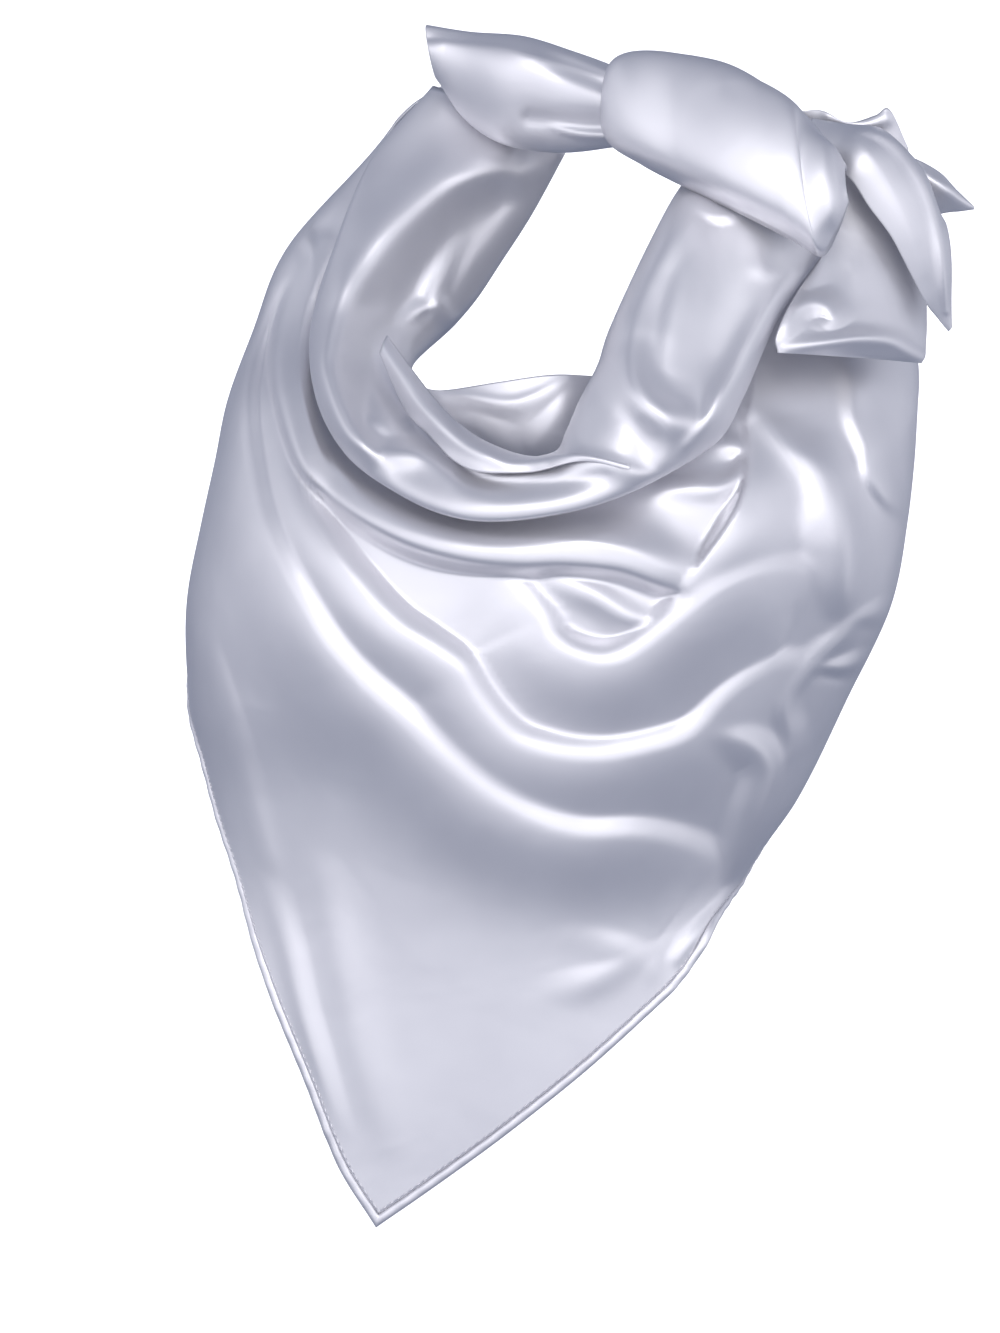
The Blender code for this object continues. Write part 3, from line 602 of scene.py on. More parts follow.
COLLAR_FOLDS = {
    "lip_run": Fold([
        Crest(0.040, -0.172, 0.10, 0.008, 0.010),
        Crest(0.075, -0.176, 0.22, 0.008, 0.012),
        Crest(0.110, -0.188, 0.18, 0.008, 0.012),
        Crest(0.150, -0.205, 0.06, 0.008, 0.012),
    ]),
    "arm_crest": Fold([
        Crest(-0.015, 0.119, 0.52, 0.019, 0.022),
        Crest(-0.035, 0.123, 0.78, 0.021, 0.026),
        Crest(-0.061, 0.117, 0.91, 0.023, 0.031),
        Crest(-0.091, 0.103, 0.91, 0.026, 0.034),
        Crest(-0.140, 0.062, 0.91, 0.028, 0.034),
        Crest(-0.165, 0.031, 0.91, 0.028, 0.031),
        Crest(-0.186, 0.001, 1.23, 0.028, 0.029),
        Crest(-0.198, -0.030, 1.23, 0.026, 0.024),
        Crest(-0.205, -0.058, 1.23, 0.023, 0.019),
        Crest(-0.205, -0.083, 1.23, 0.021, 0.017),
        Crest(-0.186, -0.134, 1.23, 0.019, 0.017),
        Crest(-0.168, -0.157, 1.05, 0.016, 0.017),
        Crest(-0.147, -0.173, 0.35, 0.014, 0.014),
    ], over_fall=1.8, under_fall=1.8),
    "arm_trough": Fold([
        Crest(-0.012, 0.100, -0.06, 0.020, 0.018),
        Crest(-0.032, 0.082, -0.13, 0.022, 0.020),
        Crest(-0.063, 0.057, -0.21, 0.022, 0.022),
        Crest(-0.089, 0.026, -0.27, 0.022, 0.022),
        Crest(-0.112, -0.002, -0.30, 0.022, 0.020),
        Crest(-0.129, -0.030, -0.33, 0.020, 0.018),
        Crest(-0.152, -0.055, -0.30, 0.018, 0.016),
        Crest(-0.160, -0.078, -0.26, 0.016, 0.014),
        Crest(-0.158, -0.105, -0.10, 0.014, 0.012),
    ]),
    "knuckle": Fold([
        Crest(-0.071, 0.050, 0.09, 0.009, 0.011),
        Crest(-0.084, 0.024, 0.22, 0.009, 0.012),
        Crest(-0.093, 0.001, 0.32, 0.009, 0.013),
        Crest(-0.091, -0.014, 0.36, 0.009, 0.013),
        Crest(-0.079, -0.028, 0.27, 0.008, 0.011),
    ]),
    "knuckle_side": Fold([
        Crest(-0.126, -0.030, 0.10, 0.009, 0.008),
        Crest(-0.108, -0.018, 0.24, 0.010, 0.008),
        Crest(-0.091, -0.014, 0.19, 0.010, 0.008),
    ]),
    "inner_rim": Fold([
        Crest(0.000, 0.110, 0.03, 0.010, 0.010),
        Crest(-0.028, 0.070, 0.06, 0.010, 0.010),
        Crest(-0.060, 0.030, 0.06, 0.010, 0.010),
        Crest(-0.075, 0.000, 0.03, 0.008, 0.008),
    ]),
    "front_pinch": Fold([
        Crest(-0.178, -0.139, 0.14, 0.013, 0.013),
        Crest(-0.152, -0.134, 0.35, 0.013, 0.016),
        Crest(-0.127, -0.130, 0.28, 0.010, 0.012),
    ]),
    "front_pinch_up": Fold([
        Crest(-0.158, -0.100, 0.07, 0.010, 0.014),
        Crest(-0.147, -0.120, 0.21, 0.010, 0.014),
        Crest(-0.127, -0.129, 0.21, 0.010, 0.013),
    ]),
    "front_fold": Fold([
        Crest(-0.165, -0.166, 0.2, 0.011, 0.013),
        Crest(-0.137, -0.165, 0.4, 0.011, 0.014),
        Crest(-0.106, -0.166, 0.4, 0.011, 0.014),
        Crest(-0.080, -0.182, 0.2, 0.011, 0.014),
    ]),
    "under_lip": Fold([
        Crest(-0.154, -0.070, -0.18, 0.008, 0.010),
        Crest(-0.140, -0.100, -0.36, 0.008, 0.012),
        Crest(-0.118, -0.132, -0.42, 0.008, 0.012),
        Crest(-0.090, -0.162, -0.42, 0.008, 0.012),
        Crest(-0.050, -0.192, -0.36, 0.008, 0.012),
        Crest(0.010, -0.198, -0.24, 0.008, 0.012),
        Crest(0.070, -0.190, -0.12, 0.008, 0.012),
    ]),
    "ring": Fold([
        Crest(0.155, 0.078, 0.20, 0.020, 0.019),
        Crest(0.140, 0.055, 0.52, 0.020, 0.020),
        Crest(0.117, 0.020, 0.63, 0.020, 0.022),
        Crest(0.101, -0.020, 0.63, 0.020, 0.022),
        Crest(0.095, -0.057, 0.63, 0.020, 0.022),
        Crest(0.099, -0.090, 0.63, 0.020, 0.022),
        Crest(0.113, -0.114, 0.63, 0.020, 0.022),
        Crest(0.135, -0.131, 0.63, 0.020, 0.022),
        Crest(0.155, -0.138, 0.42, 0.020, 0.019),
    ]),
    "ring_inner": Fold([
        Crest(0.157, 0.060, 0.06, 0.018, 0.016),
        Crest(0.150, 0.025, 0.12, 0.020, 0.016),
        Crest(0.143, -0.013, 0.15, 0.022, 0.016),
        Crest(0.136, -0.045, 0.12, 0.020, 0.016),
        Crest(0.131, -0.075, 0.06, 0.018, 0.016),
    ]),
    "arm_right_crest": Fold([
        Crest(0.266, 0.008, 0.4, 0.016, 0.012),
        Crest(0.243, -0.018, 0.7, 0.018, 0.014),
        Crest(0.224, -0.050, 0.8, 0.018, 0.014),
        Crest(0.209, -0.079, 0.8, 0.018, 0.014),
        Crest(0.193, -0.106, 0.8, 0.016, 0.014),
        Crest(0.179, -0.131, 0.7, 0.014, 0.012),
        Crest(0.160, -0.154, 0.4, 0.012, 0.012),
    ]),
    "arm_right_trough": Fold([
        Crest(0.185, 0.075, -0.18, 0.018, 0.018),
        Crest(0.190, 0.030, -0.30, 0.026, 0.024),
        Crest(0.185, -0.020, -0.30, 0.029, 0.026),
        Crest(0.172, -0.070, -0.30, 0.026, 0.024),
        Crest(0.155, -0.105, -0.18, 0.022, 0.020),
    ]),
    "front_dimple": Fold([
        Crest(0.098, -0.130, -0.10, 0.017, 0.014),
        Crest(0.112, -0.152, -0.21, 0.017, 0.014),
        Crest(0.112, -0.172, -0.14, 0.014, 0.014),
    ]),
    "knot_pucker": Fold([
        Crest(0.140, 0.105, 0.11, 0.020, 0.008),
        Crest(0.168, 0.084, 0.16, 0.022, 0.008),
        Crest(0.188, 0.074, 0.16, 0.022, 0.008),
        Crest(0.205, 0.080, 0.08, 0.018, 0.008),
    ], under_fall=5),
    "sleeve_crease": Fold([
        Crest(0.222, 0.032, 0.00, 0.008, 0.010),
        Crest(0.236, 0.015, 0.14, 0.008, 0.010),
        Crest(0.260, 0.009, 0.11, 0.008, 0.010),
    ]),
}


def unit(ways):
    return ways / np.linalg.norm(ways, axis=1, keepdims=True)


def around(sides):
    """Even angles once round a section."""
    return np.linspace(0, 2 * math.pi, sides + 1)[None, :, None]


def traced(stations, steps):
    """The middle line of a row of stations, with its half breadth, facing and share of bulge."""
    rows = np.array(stations)
    line = through(range(len(rows)), rows, np.linspace(0, len(rows) - 1, steps))
    outer = seen(*(line[:, :3] * TRIANGLE_HEIGHT).T)
    inner = seen(*(line[:, 3:6] * TRIANGLE_HEIGHT).T)
    middle = (outer + inner) / 2
    half = (outer - inner) / 2
    facing = unit(np.cross(np.gradient(middle, axis=0), half))
    if (facing @ towards_view()).sum() < 0:
        facing = -facing
    return middle[:, None], half[:, None], facing[:, None], line[:, 6][:, None, None]


def as_seen(points):
    """The places of points in the raised view, as shares of the triangle's height."""
    up = points @ -down_the_view()
    return points[..., 0] / TRIANGLE_HEIGHT, up / TRIANGLE_HEIGHT


def folded(points, folds, rise, share=1):
    """Points raised towards the view by folds."""
    across, up = as_seen(points)
    lift = relief(across, up, folds) * rise * share
    return points + lift[..., None] * towards_view()


def moved_to(points, node):
    """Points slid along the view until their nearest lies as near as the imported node's own."""
    low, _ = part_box(node)
    gap = low[1] - points[..., 1].min()
    return points + towards_view() * (gap / towards_view()[1])


def tube(stations, front, back, sides, steps, flatness=1.0):
    """A closed roll of cloth, and at each of its places how far that faces the view."""
    middle, half, facing, share = traced(stations, steps)
    angle = around(sides)
    height = np.sign(np.sin(angle)) * np.abs(np.sin(angle)) ** flatness
    stands = np.where(height > 0, front, back) * share * height
    return middle + half * np.cos(angle) + facing * stands, np.clip(np.sin(angle[..., 0]), 0, 1)


def band(stations, bulge, sides, steps):
    """A broad strip with a flat face and rounded edges, arched towards the view."""
    middle, half, facing, share = traced(stations, steps)
    angle = np.linspace(0, math.pi, sides + 1)[None, :, None]
    return middle + half * np.cos(angle) + facing * bulge * share * np.sin(angle) ** BAND_FLATNESS


def flap(stations, bulge, sides, steps):
    middle, half, facing, share = traced(stations, steps)
    place = np.linspace(1, -1, sides + 1)[None, :, None]
    return middle + half * place + facing * bulge * share * (1 - place**2)


collar_points, collar_front = tube(COLLAR, COLLAR_BULGE, COLLAR_BACK, sides=84, steps=240)
collar_points = moved_to(collar_points, "collar")
collar_points = folded(collar_points, COLLAR_FOLDS, FOLD_RISE, collar_front**ROLL_FADE)
collar = cloth("collar_roll", collar_points, closed=True)
collar.data.materials.append(satin("collar_satin", COLLAR_FLAT))
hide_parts("collar")

# The lip fold: a small roll of the same cloth, turned over along the collar's inner edge where the
# left arm meets the front.
LIP_FLAT = (0.022, 0.13)
LIP_FOLD = [
    Station(-0.150, -0.065, -0.075, -0.142, -0.047, -0.060, 0.3),
    Station(-0.124, -0.122, -0.115, -0.112, -0.088, -0.100, 0.5),
    Station(-0.101, -0.147, -0.150, -0.090, -0.116, -0.125, 0.5),
    Station(-0.076, -0.173, -0.180, -0.066, -0.139, -0.145, 0.5),
    Station(-0.048, -0.184, -0.200, -0.038, -0.156, -0.160, 0.5),
    Station(0.000, -0.184, -0.205, 0.000, -0.168, -0.175, 0.3),
    Station(0.050, -0.174, -0.216, 0.048, -0.166, -0.208, 0.2),
    Station(0.098, -0.182, -0.229, 0.099, -0.177, -0.224, 0.1),
]
TAIL_BULGE = 0.008
LIP_RELIEF = {
    "lip_crest": Fold([
        Crest(-0.148, -0.052, 0.2, 0.008, 0.010),
        Crest(-0.139, -0.068, 0.5, 0.009, 0.010),
        Crest(-0.124, -0.091, 0.7, 0.010, 0.011),
        Crest(-0.109, -0.114, 0.7, 0.010, 0.011),
        Crest(-0.088, -0.137, 0.7, 0.010, 0.011),
        Crest(-0.065, -0.155, 0.6, 0.009, 0.010),
        Crest(-0.042, -0.167, 0.5, 0.008, 0.009),
        Crest(-0.020, -0.175, 0.3, 0.006, 0.008),
        Crest(0.010, -0.172, 0.2, 0.005, 0.006),
    ]),
}
LIP_RISE = 0.008
lip_points = moved_to(flap(LIP_FOLD, TAIL_BULGE, sides=26, steps=120), "lip_fold")
lip = cloth("lip_roll", folded(lip_points, LIP_RELIEF, LIP_RISE))
lip.data.materials.append(satin("lip_satin", LIP_FLAT))
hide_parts("lip_fold")

# The inner fold: the layer of the square's folded edge that stands up inside the collar. It is
# one layer of satin, creased where the roll's front pushes it up, and held by the roll alone.
INNER_FLAT = (0.045, 0.10)
INNER_FOLD = [
    Station(-0.100, -0.150, -0.098, -0.108, -0.098, -0.088, 0.2),
    Station(-0.065, -0.165, -0.125, -0.085, -0.101, -0.112, 0.4),
    Station(-0.010, -0.180, -0.142, -0.030, -0.093, -0.130, 0.5),
    Station(0.040, -0.175, -0.142, 0.022, -0.086, -0.128, 0.5),
    Station(0.085, -0.150, -0.122, 0.065, -0.087, -0.110, 0.3),
]
INNER_RELIEF = {
    "inner_rim": Fold([
        Crest(-0.101, -0.109, 0.14, 0.008, 0.010),
        Crest(-0.063, -0.109, 0.27, 0.008, 0.012),
        Crest(-0.025, -0.115, 0.27, 0.008, 0.012),
        Crest(0.001, -0.110, 0.23, 0.008, 0.012),
        Crest(0.036, -0.092, 0.09, 0.008, 0.010),
    ]),
    "inner_crease": Fold([
        Crest(-0.063, -0.118, 0.06, 0.014, 0.012),
        Crest(-0.043, -0.142, 0.14, 0.017, 0.012),
        Crest(-0.020, -0.168, 0.10, 0.014, 0.012),
    ]),
    "inner_side": Fold([
        Crest(0.039, -0.100, 0.06, 0.014, 0.014),
        Crest(0.024, -0.134, 0.13, 0.017, 0.014),
        Crest(0.006, -0.158, 0.10, 0.014, 0.012),
    ]),
}
inner_points = moved_to(flap(INNER_FOLD, TAIL_BULGE, sides=50, steps=110), "inner_fold")
inner = cloth("inner_cloth", folded(inner_points, INNER_RELIEF, LIP_RISE))
inner.data.materials.append(satin("inner_satin", INNER_FLAT))
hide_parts("inner_fold")

# The nape strand: the far end of the same satin roll, drawn round behind the neck to the knot. It
# is gathered tight where the knot grips it, and slackens into a leaf shape towards its other end.
STRAND_FLAT = (0.12, 0.115)
NAPE_STRAND = [
    Station(-0.093, 0.214, 0.170, -0.104, 0.268, 0.175, 0.5),
    Station(-0.066, 0.175, 0.160, -0.060, 0.261, 0.170, 0.7),
    Station(-0.025, 0.148, 0.145, -0.006, 0.256, 0.155, 1.0),
    Station(0.030, 0.139, 0.128, 0.045, 0.240, 0.142, 1.0),
    Station(0.080, 0.143, 0.098, 0.083, 0.225, 0.115, 0.8),
    Station(0.115, 0.148, 0.070, 0.118, 0.208, 0.088, 0.6),
]
STRAND_FOLDS = {
    "upper_slope": Fold([
        Crest(-0.085, 0.246, 0.6, 0.010, 0.050),
        Crest(-0.030, 0.240, 1.1, 0.012, 0.070),
        Crest(0.030, 0.224, 1.1, 0.012, 0.065),
        Crest(0.088, 0.204, 0.7, 0.010, 0.050),
    ], over_fall=1.6, under_fall=1.6),
    "gather_upper": Fold([
        Crest(0.006, 0.246, 0.1, 0.008, 0.009),
        Crest(0.026, 0.238, 0.4, 0.008, 0.009),
        Crest(0.052, 0.229, 0.6, 0.008, 0.009),
        Crest(0.087, 0.213, 0.6, 0.008, 0.009),
    ]),
    "gather_hollow": Fold([
        Crest(0.014, 0.232, -0.1, 0.007, 0.009),
        Crest(0.040, 0.222, -0.4, 0.007, 0.009),
        Crest(0.085, 0.203, -0.5, 0.007, 0.009),
    ]),
    "turn": Fold([
        Crest(-0.044, 0.240, 0.04, 0.016, 0.018),
        Crest(-0.034, 0.224, 0.21, 0.016, 0.016),
        Crest(-0.026, 0.204, 0.25, 0.018, 0.014),
        Crest(-0.036, 0.186, 0.25, 0.019, 0.011),
        Crest(-0.037, 0.176, 0.29, 0.018, 0.010),
        Crest(-0.026, 0.166, 0.21, 0.010, 0.010),
        Crest(0.000, 0.158, 0.08, 0.008, 0.008),
    ]),
    "gather_low": Fold([
        Crest(0.000, 0.172, 0.1, 0.008, 0.007),
        Crest(0.026, 0.163, 0.5, 0.008, 0.007),
        Crest(0.052, 0.156, 0.6, 0.008, 0.007),
        Crest(0.085, 0.153, 0.6, 0.008, 0.007),
    ]),
    "low_hollow": Fold([
        Crest(0.000, 0.172, -0.24, 0.010, 0.008),
        Crest(0.045, 0.168, -0.24, 0.010, 0.008),
        Crest(0.085, 0.166, -0.24, 0.010, 0.008),
    ]),
}
STRAND_RISE = 0.009
ROLL_FLATNESS = 0.7
strand_points, strand_front = tube(
    NAPE_STRAND, COLLAR_BULGE, COLLAR_BACK, sides=84, steps=140, flatness=ROLL_FLATNESS
)
strand_points = moved_to(strand_points, "nape_strand")
strand_points = folded(strand_points, STRAND_FOLDS, STRAND_RISE, strand_front**ROLL_FADE)
strand = cloth("nape_roll", strand_points, closed=True)
strand.data.materials.append(satin("nape_satin", STRAND_FLAT))
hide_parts("nape_strand")

# The knot: one end of the satin, spread to a broad band and wrapped over both ends of the roll,
# with a second turn of it behind.
WRAP_FLAT = (0.105, 0.13)
TURN_FLAT = (0.07, 0.078)
KNOT_BULGE = 0.026
BAND_FLATNESS = 0.5
KNOT_WRAP = [
    Station(0.084, 0.150, 0.070, 0.090, 0.226, 0.090, 0.5),
    Station(0.110, 0.125, 0.035, 0.110, 0.235, 0.085, 0.9),
    Station(0.160, 0.098, 0.000, 0.150, 0.230, 0.080, 1.0),
    Station(0.210, 0.073, -0.035, 0.192, 0.218, 0.070, 1.1),
    Station(0.260, 0.047, -0.055, 0.232, 0.198, 0.050, 1.1),
    Station(0.290, 0.031, -0.062, 0.272, 0.176, 0.025, 1.0),
    Station(0.306, 0.055, -0.060, 0.300, 0.142, 0.000, 0.85),
    Station(0.317, 0.085, -0.055, 0.316, 0.118, -0.005, 0.3),
]
KNOT_BACK = [
    Station(0.120, 0.222, 0.105, 0.110, 0.135, 0.090, 0.40),
    Station(0.165, 0.213, 0.095, 0.155, 0.115, 0.075, 0.50),
    Station(0.220, 0.195, 0.080, 0.205, 0.095, 0.055, 0.50),
    Station(0.270, 0.165, 0.060, 0.255, 0.080, 0.035, 0.35),
]
wrap_points = band(KNOT_WRAP, KNOT_BULGE, sides=80, steps=120)
wrap = cloth("knot_band", moved_to(wrap_points, "knot_wrap"))
wrap.data.materials.append(satin("knot_satin", WRAP_FLAT))
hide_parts("knot_wrap")
turn_points = band(KNOT_BACK, -KNOT_BULGE, sides=60, steps=70)
knot_back = cloth("knot_turn", moved_to(turn_points, "knot_back"))
knot_back.data.materials.append(satin("knot_back_satin", TURN_FLAT))
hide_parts("knot_back")

# The tails: the square's two long corners. They come out of the knot, which holds them, and hang
# as single layers of satin in flat folds, with three small corners that show round the knot.
TAIL_OVER = [
    Station(0.262, 0.128, 0.000, 0.282, 0.172, 0.035, 0.3),
    Station(0.300, 0.118, -0.015, 0.318, 0.166, 0.030, 0.6),
    Station(0.319, 0.110, -0.030, 0.350, 0.162, 0.025, 0.9),
    Station(0.338, 0.082, -0.035, 0.376, 0.141, 0.025, 1.0),
    Station(0.360, 0.053, -0.035, 0.396, 0.116, 0.025, 1.0),
    Station(0.378, 0.020, -0.030, 0.410, 0.080, 0.025, 1.0),
    Station(0.396, -0.013, -0.020, 0.419, 0.058, 0.025, 0.8),
    Station(0.410, -0.030, -0.005, 0.421, 0.000, 0.020, 0.4),
    Station(0.419, -0.041, 0.005, 0.423, -0.035, 0.010, 0.1),
]
TAIL_UNDER = [
    Station(0.280, 0.128, 0.020, 0.345, 0.150, 0.055, 0.2),
    Station(0.305, 0.100, 0.020, 0.370, 0.110, 0.060, 0.4),
    Station(0.306, 0.066, 0.000, 0.385, 0.060, 0.050, 0.8),
    Station(0.289, 0.030, -0.030, 0.396, 0.010, 0.045, 1.2),
    Station(0.267, -0.002, -0.065, 0.398, -0.030, 0.040, 1.5),
    Station(0.252, -0.028, -0.095, 0.397, -0.055, 0.030, 1.6),
    Station(0.244, -0.050, -0.115, 0.396, -0.066, 0.020, 1.4),
    Station(0.246, -0.065, -0.118, 0.392, -0.073, 0.015, 0.9),
]
TAIL_BACK = [
    Station(0.352, 0.060, 0.055, 0.350, 0.140, 0.060, 0.3),
    Station(0.385, 0.070, 0.058, 0.380, 0.135, 0.062, 0.6),
    Station(0.415, 0.078, 0.062, 0.410, 0.120, 0.066, 0.6),
    Station(0.432, 0.080, 0.066, 0.428, 0.102, 0.070, 0.4),
    Station(0.446, 0.082, 0.070, 0.444, 0.087, 0.072, 0.1),
]
PEAK_FLAP = [
    Station(0.270, 0.140, 0.060, 0.268, 0.179, 0.050, 0.2),
    Station(0.292, 0.135, 0.055, 0.292, 0.180, 0.048, 0.5),
    Station(0.322, 0.120, 0.050, 0.318, 0.168, 0.046, 0.5),
    Station(0.350, 0.110, 0.050, 0.345, 0.175, 0.048, 0.5),
    Station(0.368, 0.105, 0.050, 0.360, 0.181, 0.050, 0.3),
    Station(0.380, 0.110, 0.050, 0.379, 0.143, 0.052, 0.1),
]
KNOT_CORNER = [
    Station(0.186, 0.190, 0.085, 0.190, 0.212, 0.085, 0.1),
    Station(0.206, 0.180, 0.085, 0.207, 0.221, 0.085, 0.4),
    Station(0.228, 0.170, 0.082, 0.224, 0.207, 0.080, 0.4),
    Station(0.258, 0.165, 0.075, 0.256, 0.184, 0.072, 0.1),
]
OVER_RELIEF = {
    "over_rim": Fold([
        Crest(0.330, 0.163, 0.2, 0.006, 0.007),
        Crest(0.357, 0.153, 0.4, 0.006, 0.007),
        Crest(0.380, 0.130, 0.4, 0.006, 0.007),
        Crest(0.400, 0.094, 0.4, 0.006, 0.007),
        Crest(0.409, 0.060, 0.4, 0.006, 0.007),
        Crest(0.414, 0.015, 0.4, 0.005, 0.006),
        Crest(0.417, -0.020, 0.2, 0.004, 0.004),
    ]),
    "over_bend": Fold([
        Crest(0.290, 0.160, 0.04, 0.012, 0.020),
        Crest(0.322, 0.146, 0.16, 0.012, 0.024),
        Crest(0.345, 0.120, 0.16, 0.012, 0.024),
        Crest(0.372, 0.070, 0.12, 0.012, 0.020),
        Crest(0.392, 0.020, 0.04, 0.010, 0.014),
    ]),
}
UNDER_RELIEF = {
    "corner_curl": Fold([
        Crest(0.252, -0.050, 0.18, 0.012, 0.011),
        Crest(0.256, -0.034, 0.48, 0.012, 0.011),
        Crest(0.264, -0.020, 0.60, 0.012, 0.011),
        Crest(0.280, -0.013, 0.60, 0.012, 0.011),
        Crest(0.296, -0.017, 0.54, 0.012, 0.011),
        Crest(0.303, -0.030, 0.42, 0.012, 0.011),
        Crest(0.294, -0.041, 0.18, 0.012, 0.011),
    ]),
    "bottom_roll": Fold([
        Crest(0.256, -0.062, 0.3, 0.009, 0.010),
        Crest(0.295, -0.055, 0.7, 0.010, 0.010),
        Crest(0.330, -0.050, 0.9, 0.010, 0.010),
        Crest(0.362, -0.052, 0.8, 0.010, 0.010),
        Crest(0.390, -0.066, 0.3, 0.009, 0.010),
    ]),
    "under_crease": Fold([
        Crest(0.296, 0.062, 0.2, 0.012, 0.014),
        Crest(0.290, 0.030, 0.4, 0.012, 0.016),
        Crest(0.278, 0.004, 0.3, 0.012, 0.014),
    ]),
}
BACK_RELIEF = {
    "back_bend": Fold([
        Crest(0.390, 0.120, 0.3, 0.008, 0.010),
        Crest(0.415, 0.104, 0.6, 0.008, 0.010),
        Crest(0.440, 0.086, 0.2, 0.006, 0.008),
    ]),
}
PEAK_RELIEF = {
    "peak_bend": Fold([
        Crest(0.300, 0.175, 0.3, 0.008, 0.008),
        Crest(0.330, 0.166, 0.5, 0.008, 0.008),
        Crest(0.355, 0.172, 0.3, 0.008, 0.008),
    ]),
}
CORNER_RELIEF = {
    "corner_bend": Fold([
        Crest(0.200, 0.208, 0.3, 0.007, 0.008),
        Crest(0.222, 0.196, 0.5, 0.007, 0.008),
        Crest(0.245, 0.184, 0.2, 0.007, 0.008),
    ]),
}
End = namedtuple("End", "node stations folds sides steps flat area")
for piece in (
    End("tail_over", TAIL_OVER, OVER_RELIEF, 60, 130, (0.060, 0.130), 0.0052),
    End("tail_under", TAIL_UNDER, UNDER_RELIEF, 110, 120, (0.085, 0.105), 0.0082),
    End("tail_back", TAIL_BACK, BACK_RELIEF, 40, 60, (0.040, 0.050), 0.0013),
    End("peak_flap", PEAK_FLAP, PEAK_RELIEF, 40, 60, (0.035, 0.062), 0.0016),
    End("knot_corner", KNOT_CORNER, CORNER_RELIEF, 30, 50, (0.025, 0.040), 0.0007),
):
    points = moved_to(flap(piece.stations, TAIL_BULGE, piece.sides, piece.steps), piece.node)
    end = cloth(piece.node + "_cloth", folded(points, piece.folds, LIP_RISE))
    end.data.materials.append(satin(piece.node + "_satin", piece.flat))
    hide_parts(piece.node)

# The hem: the raw edge of the satin, rolled to a narrow cord down both sides of the point and
# whipped down with fine stitches, which pucker it a little.
HEM_WIDTH = 0.0048
HEM_THICKNESS = 0.0034
HEM_FLAT = (0.012, 1.25)
HEM_SIGHT = 0.97
HEM_FINER = 4
PUCKER_STEP = 0.013
PUCKER_SHARE = 0.10
STITCH_STEP = 0.0042
STITCH_POINTS = 8
STITCH_INSET = 0.0012
STITCH_DIP = 1.5
THREAD = 0.00028


def hem_course(turns):
    """The drape's edge, the mitred ways in from it, the ways out from its face, and its run."""
    edge = drape_surface(turns, np.ones(len(turns)))
    above = drape_surface(turns, np.full(len(turns), HEM_SIGHT))
    before = np.diff(edge, axis=0, prepend=2 * edge[:1] - edge[1:2])
    after = np.diff(edge, axis=0, append=2 * edge[-1:] - edge[-2:-1])
    run = np.cumsum(np.linalg.norm(before, axis=1, keepdims=True), axis=0)
    course = unit(before) + unit(after)
    mitre = 2 / np.linalg.norm(course, axis=1, keepdims=True)
    course *= mitre / 2
    inward = above - edge
    inward = unit(inward - (inward * course).sum(1, keepdims=True) * course)
    facing = unit(np.cross(course, inward))
    if (facing @ towards_view()).sum() < 0:
        facing = -facing
    return edge, inward * mitre, facing, run


def hem_points(turns, sides):
    edge, inward, facing, run = hem_course(turns)
    middle = edge - inward * (HEM_WIDTH / 2) - facing * CLOTH / 2
    angle = around(sides)
    pucker = 1 + PUCKER_SHARE * np.sin(2 * math.pi * run / PUCKER_STEP)[:, None]
    across = inward[:, None] * np.cos(angle) * HEM_WIDTH / 2
    return middle[:, None] + across + facing[:, None] * np.sin(angle) * HEM_THICKNESS / 2 * pucker


def stitch_points(turns, sides):
    """A thread that runs along inside the hem, and dips through the cloth between its stitches."""
    run = hem_course(turns)[3][:, 0]
    count = int((run[-1] - run[0]) / STITCH_STEP * STITCH_POINTS)
    even = np.interp(np.linspace(run[0], run[-1], count), run, turns)
    edge, inward, facing, run = hem_course(even)
    dip = THREAD * STITCH_DIP * np.cos(2 * math.pi * run / STITCH_STEP)
    middle = edge + inward * STITCH_INSET + facing * dip
    angle = around(sides)
    across = inward[:, None] * np.cos(angle) + facing[:, None] * np.sin(angle)
    return middle[:, None] + across * THREAD


hem_turns = drape_turns(HEM_FINER)
hem = cloth("hem_roll", hem_points(hem_turns, sides=12), closed=True, wall=0)
hem.data.materials.append(satin("hem_satin", HEM_FLAT))
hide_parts("hem")
stitches = cloth("hem_stitches", stitch_points(hem_turns, sides=5), closed=True, wall=0)
stitches.data.materials.append(satin("thread", HEM_FLAT))

# The studio: a plain pale floor, soft glows all round with a broad key light high in front, and a
# long lens a little above the cloth, so that it shows as in the photograph.
PICTURE_WIDTH = 1000
PICTURE_HEIGHT = 1333
NECK_COLUMN = 530
NECK_ROW = 290
PIXEL = TRIANGLE_HEIGHT / 1000
CAMERA_DISTANCE = 9.0
FLOOR_DROP = 0.02
FLOOR_SIZE = 40
SENSOR = 36.0
HEAD_COLUMN_SHIFT = (PICTURE_WIDTH / 2 - NECK_COLUMN) * PIXEL
HEAD_ROW_SHIFT = (NECK_ROW - PICTURE_HEIGHT / 2) * PIXEL

lens_data = bpy.data.cameras.new("camera")
lens_data.sensor_width = SENSOR
lens_data.lens = SENSOR * CAMERA_DISTANCE / (PICTURE_HEIGHT * PIXEL)
lens_data.clip_end = 100
camera = bpy.data.objects.new("camera", lens_data)
bpy.context.scene.collection.objects.link(camera)
aim = Vector((HEAD_COLUMN_SHIFT, 0, 0)) - Vector(down_the_view()) * HEAD_ROW_SHIFT
camera.location = aim + Vector(towards_view()) * CAMERA_DISTANCE
camera.rotation_euler = Vector(towards_view()).to_track_quat("Z", "Y").to_euler()
bpy.context.scene.camera = camera


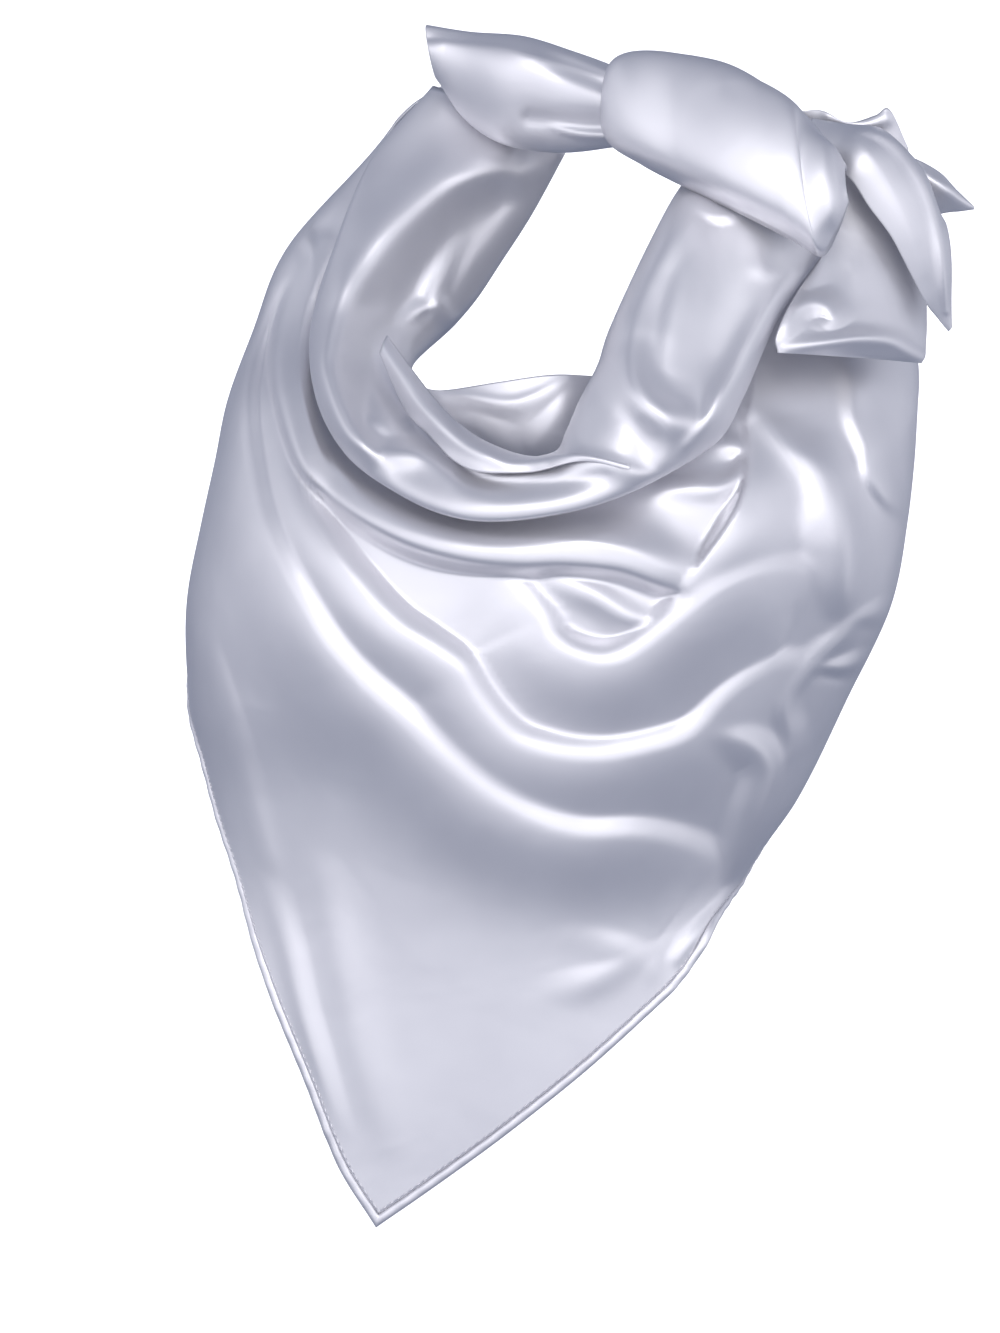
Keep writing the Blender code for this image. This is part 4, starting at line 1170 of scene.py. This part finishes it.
def soft_sun(name, azimuth, height, spread, strength, colour):
    """An even light from far off: azimuth 0 comes from the camera's side, 90 from the right."""
    data = bpy.data.lights.new(name, "SUN")
    data.angle = math.radians(spread)
    data.energy = strength
    data.color = colour
    sun = bpy.data.objects.new(name, data)
    sun.rotation_euler = (math.radians(90 - height), 0, math.radians(azimuth))
    bpy.context.scene.collection.objects.link(sun)


soft_sun("key_light", azimuth=6, height=42, spread=26, strength=0.5, colour=(1.0, 0.985, 0.97))

Glow = namedtuple("Glow", "azimuth height full edge strength")
GLOWS = [
    Glow(0, 40, 5, 20, 1.15),
    Glow(0, 12, 12, 72, 0.80),
    Glow(50, 24, 8, 44, 0.55),
    Glow(-44, 14, 8, 38, 0.75),
    Glow(34, 10, 6, 30, 0.4),
    Glow(105, 0, 15, 46, 0.6),
    Glow(-98, 12, 10, 44, 0.62),
    Glow(0, 84, 10, 40, 0.22),
]
DIM_AIR = (0.175, 0.205, 0.30)
GLOW_WHITE = (1.0, 0.98, 0.985)

world = bpy.data.worlds.new("studio")
bpy.context.scene.world = world
world.use_nodes = True
air = world.node_tree
way = air.nodes.new("ShaderNodeTexCoord")
light_sum = None
for glow in GLOWS:
    azimuth = math.radians(glow.azimuth)
    height = math.radians(glow.height)
    facing = air.nodes.new("ShaderNodeVectorMath")
    facing.operation = "DOT_PRODUCT"
    facing.inputs[1].default_value = (
        math.sin(azimuth) * math.cos(height),
        -math.cos(azimuth) * math.cos(height),
        math.sin(height),
    )
    air.links.new(way.outputs["Generated"], facing.inputs[0])
    fade = air.nodes.new("ShaderNodeMapRange")
    fade.interpolation_type = "SMOOTHSTEP"
    fade.inputs["From Min"].default_value = math.cos(math.radians(glow.edge))
    fade.inputs["From Max"].default_value = math.cos(math.radians(glow.full))
    fade.inputs["To Max"].default_value = glow.strength
    air.links.new(facing.outputs["Value"], fade.inputs["Value"])
    tint = air.nodes.new("ShaderNodeVectorMath")
    tint.operation = "SCALE"
    tint.inputs[0].default_value = GLOW_WHITE
    air.links.new(fade.outputs["Result"], tint.inputs["Scale"])
    joined = air.nodes.new("ShaderNodeVectorMath")
    joined.inputs[0].default_value = DIM_AIR
    if light_sum:
        air.links.new(light_sum, joined.inputs[0])
    air.links.new(tint.outputs["Vector"], joined.inputs[1])
    light_sum = joined.outputs["Vector"]
air.links.new(light_sum, air.nodes["Background"].inputs["Color"])

bpy.ops.object.select_all(action="DESELECT")
bpy.ops.mesh.primitive_plane_add(size=FLOOR_SIZE, location=(0, 0, cad_low[2] - FLOOR_DROP))
floor = bpy.context.object
floor.name = "floor"
floor.visible_diffuse = False
floor.visible_glossy = False
paper = bpy.data.materials.new("paper")
paper.use_nodes = True
matt = paper.node_tree.nodes["Principled BSDF"]
matt.inputs["Base Color"].default_value = (0.9, 0.9, 0.9, 1)
matt.inputs["Roughness"].default_value = 0.9
matt.inputs["Emission Color"].default_value = (1, 1, 1, 1)
matt.inputs["Emission Strength"].default_value = 1.0
floor.data.materials.append(paper)

bpy.context.scene.view_settings.view_transform = "Standard"
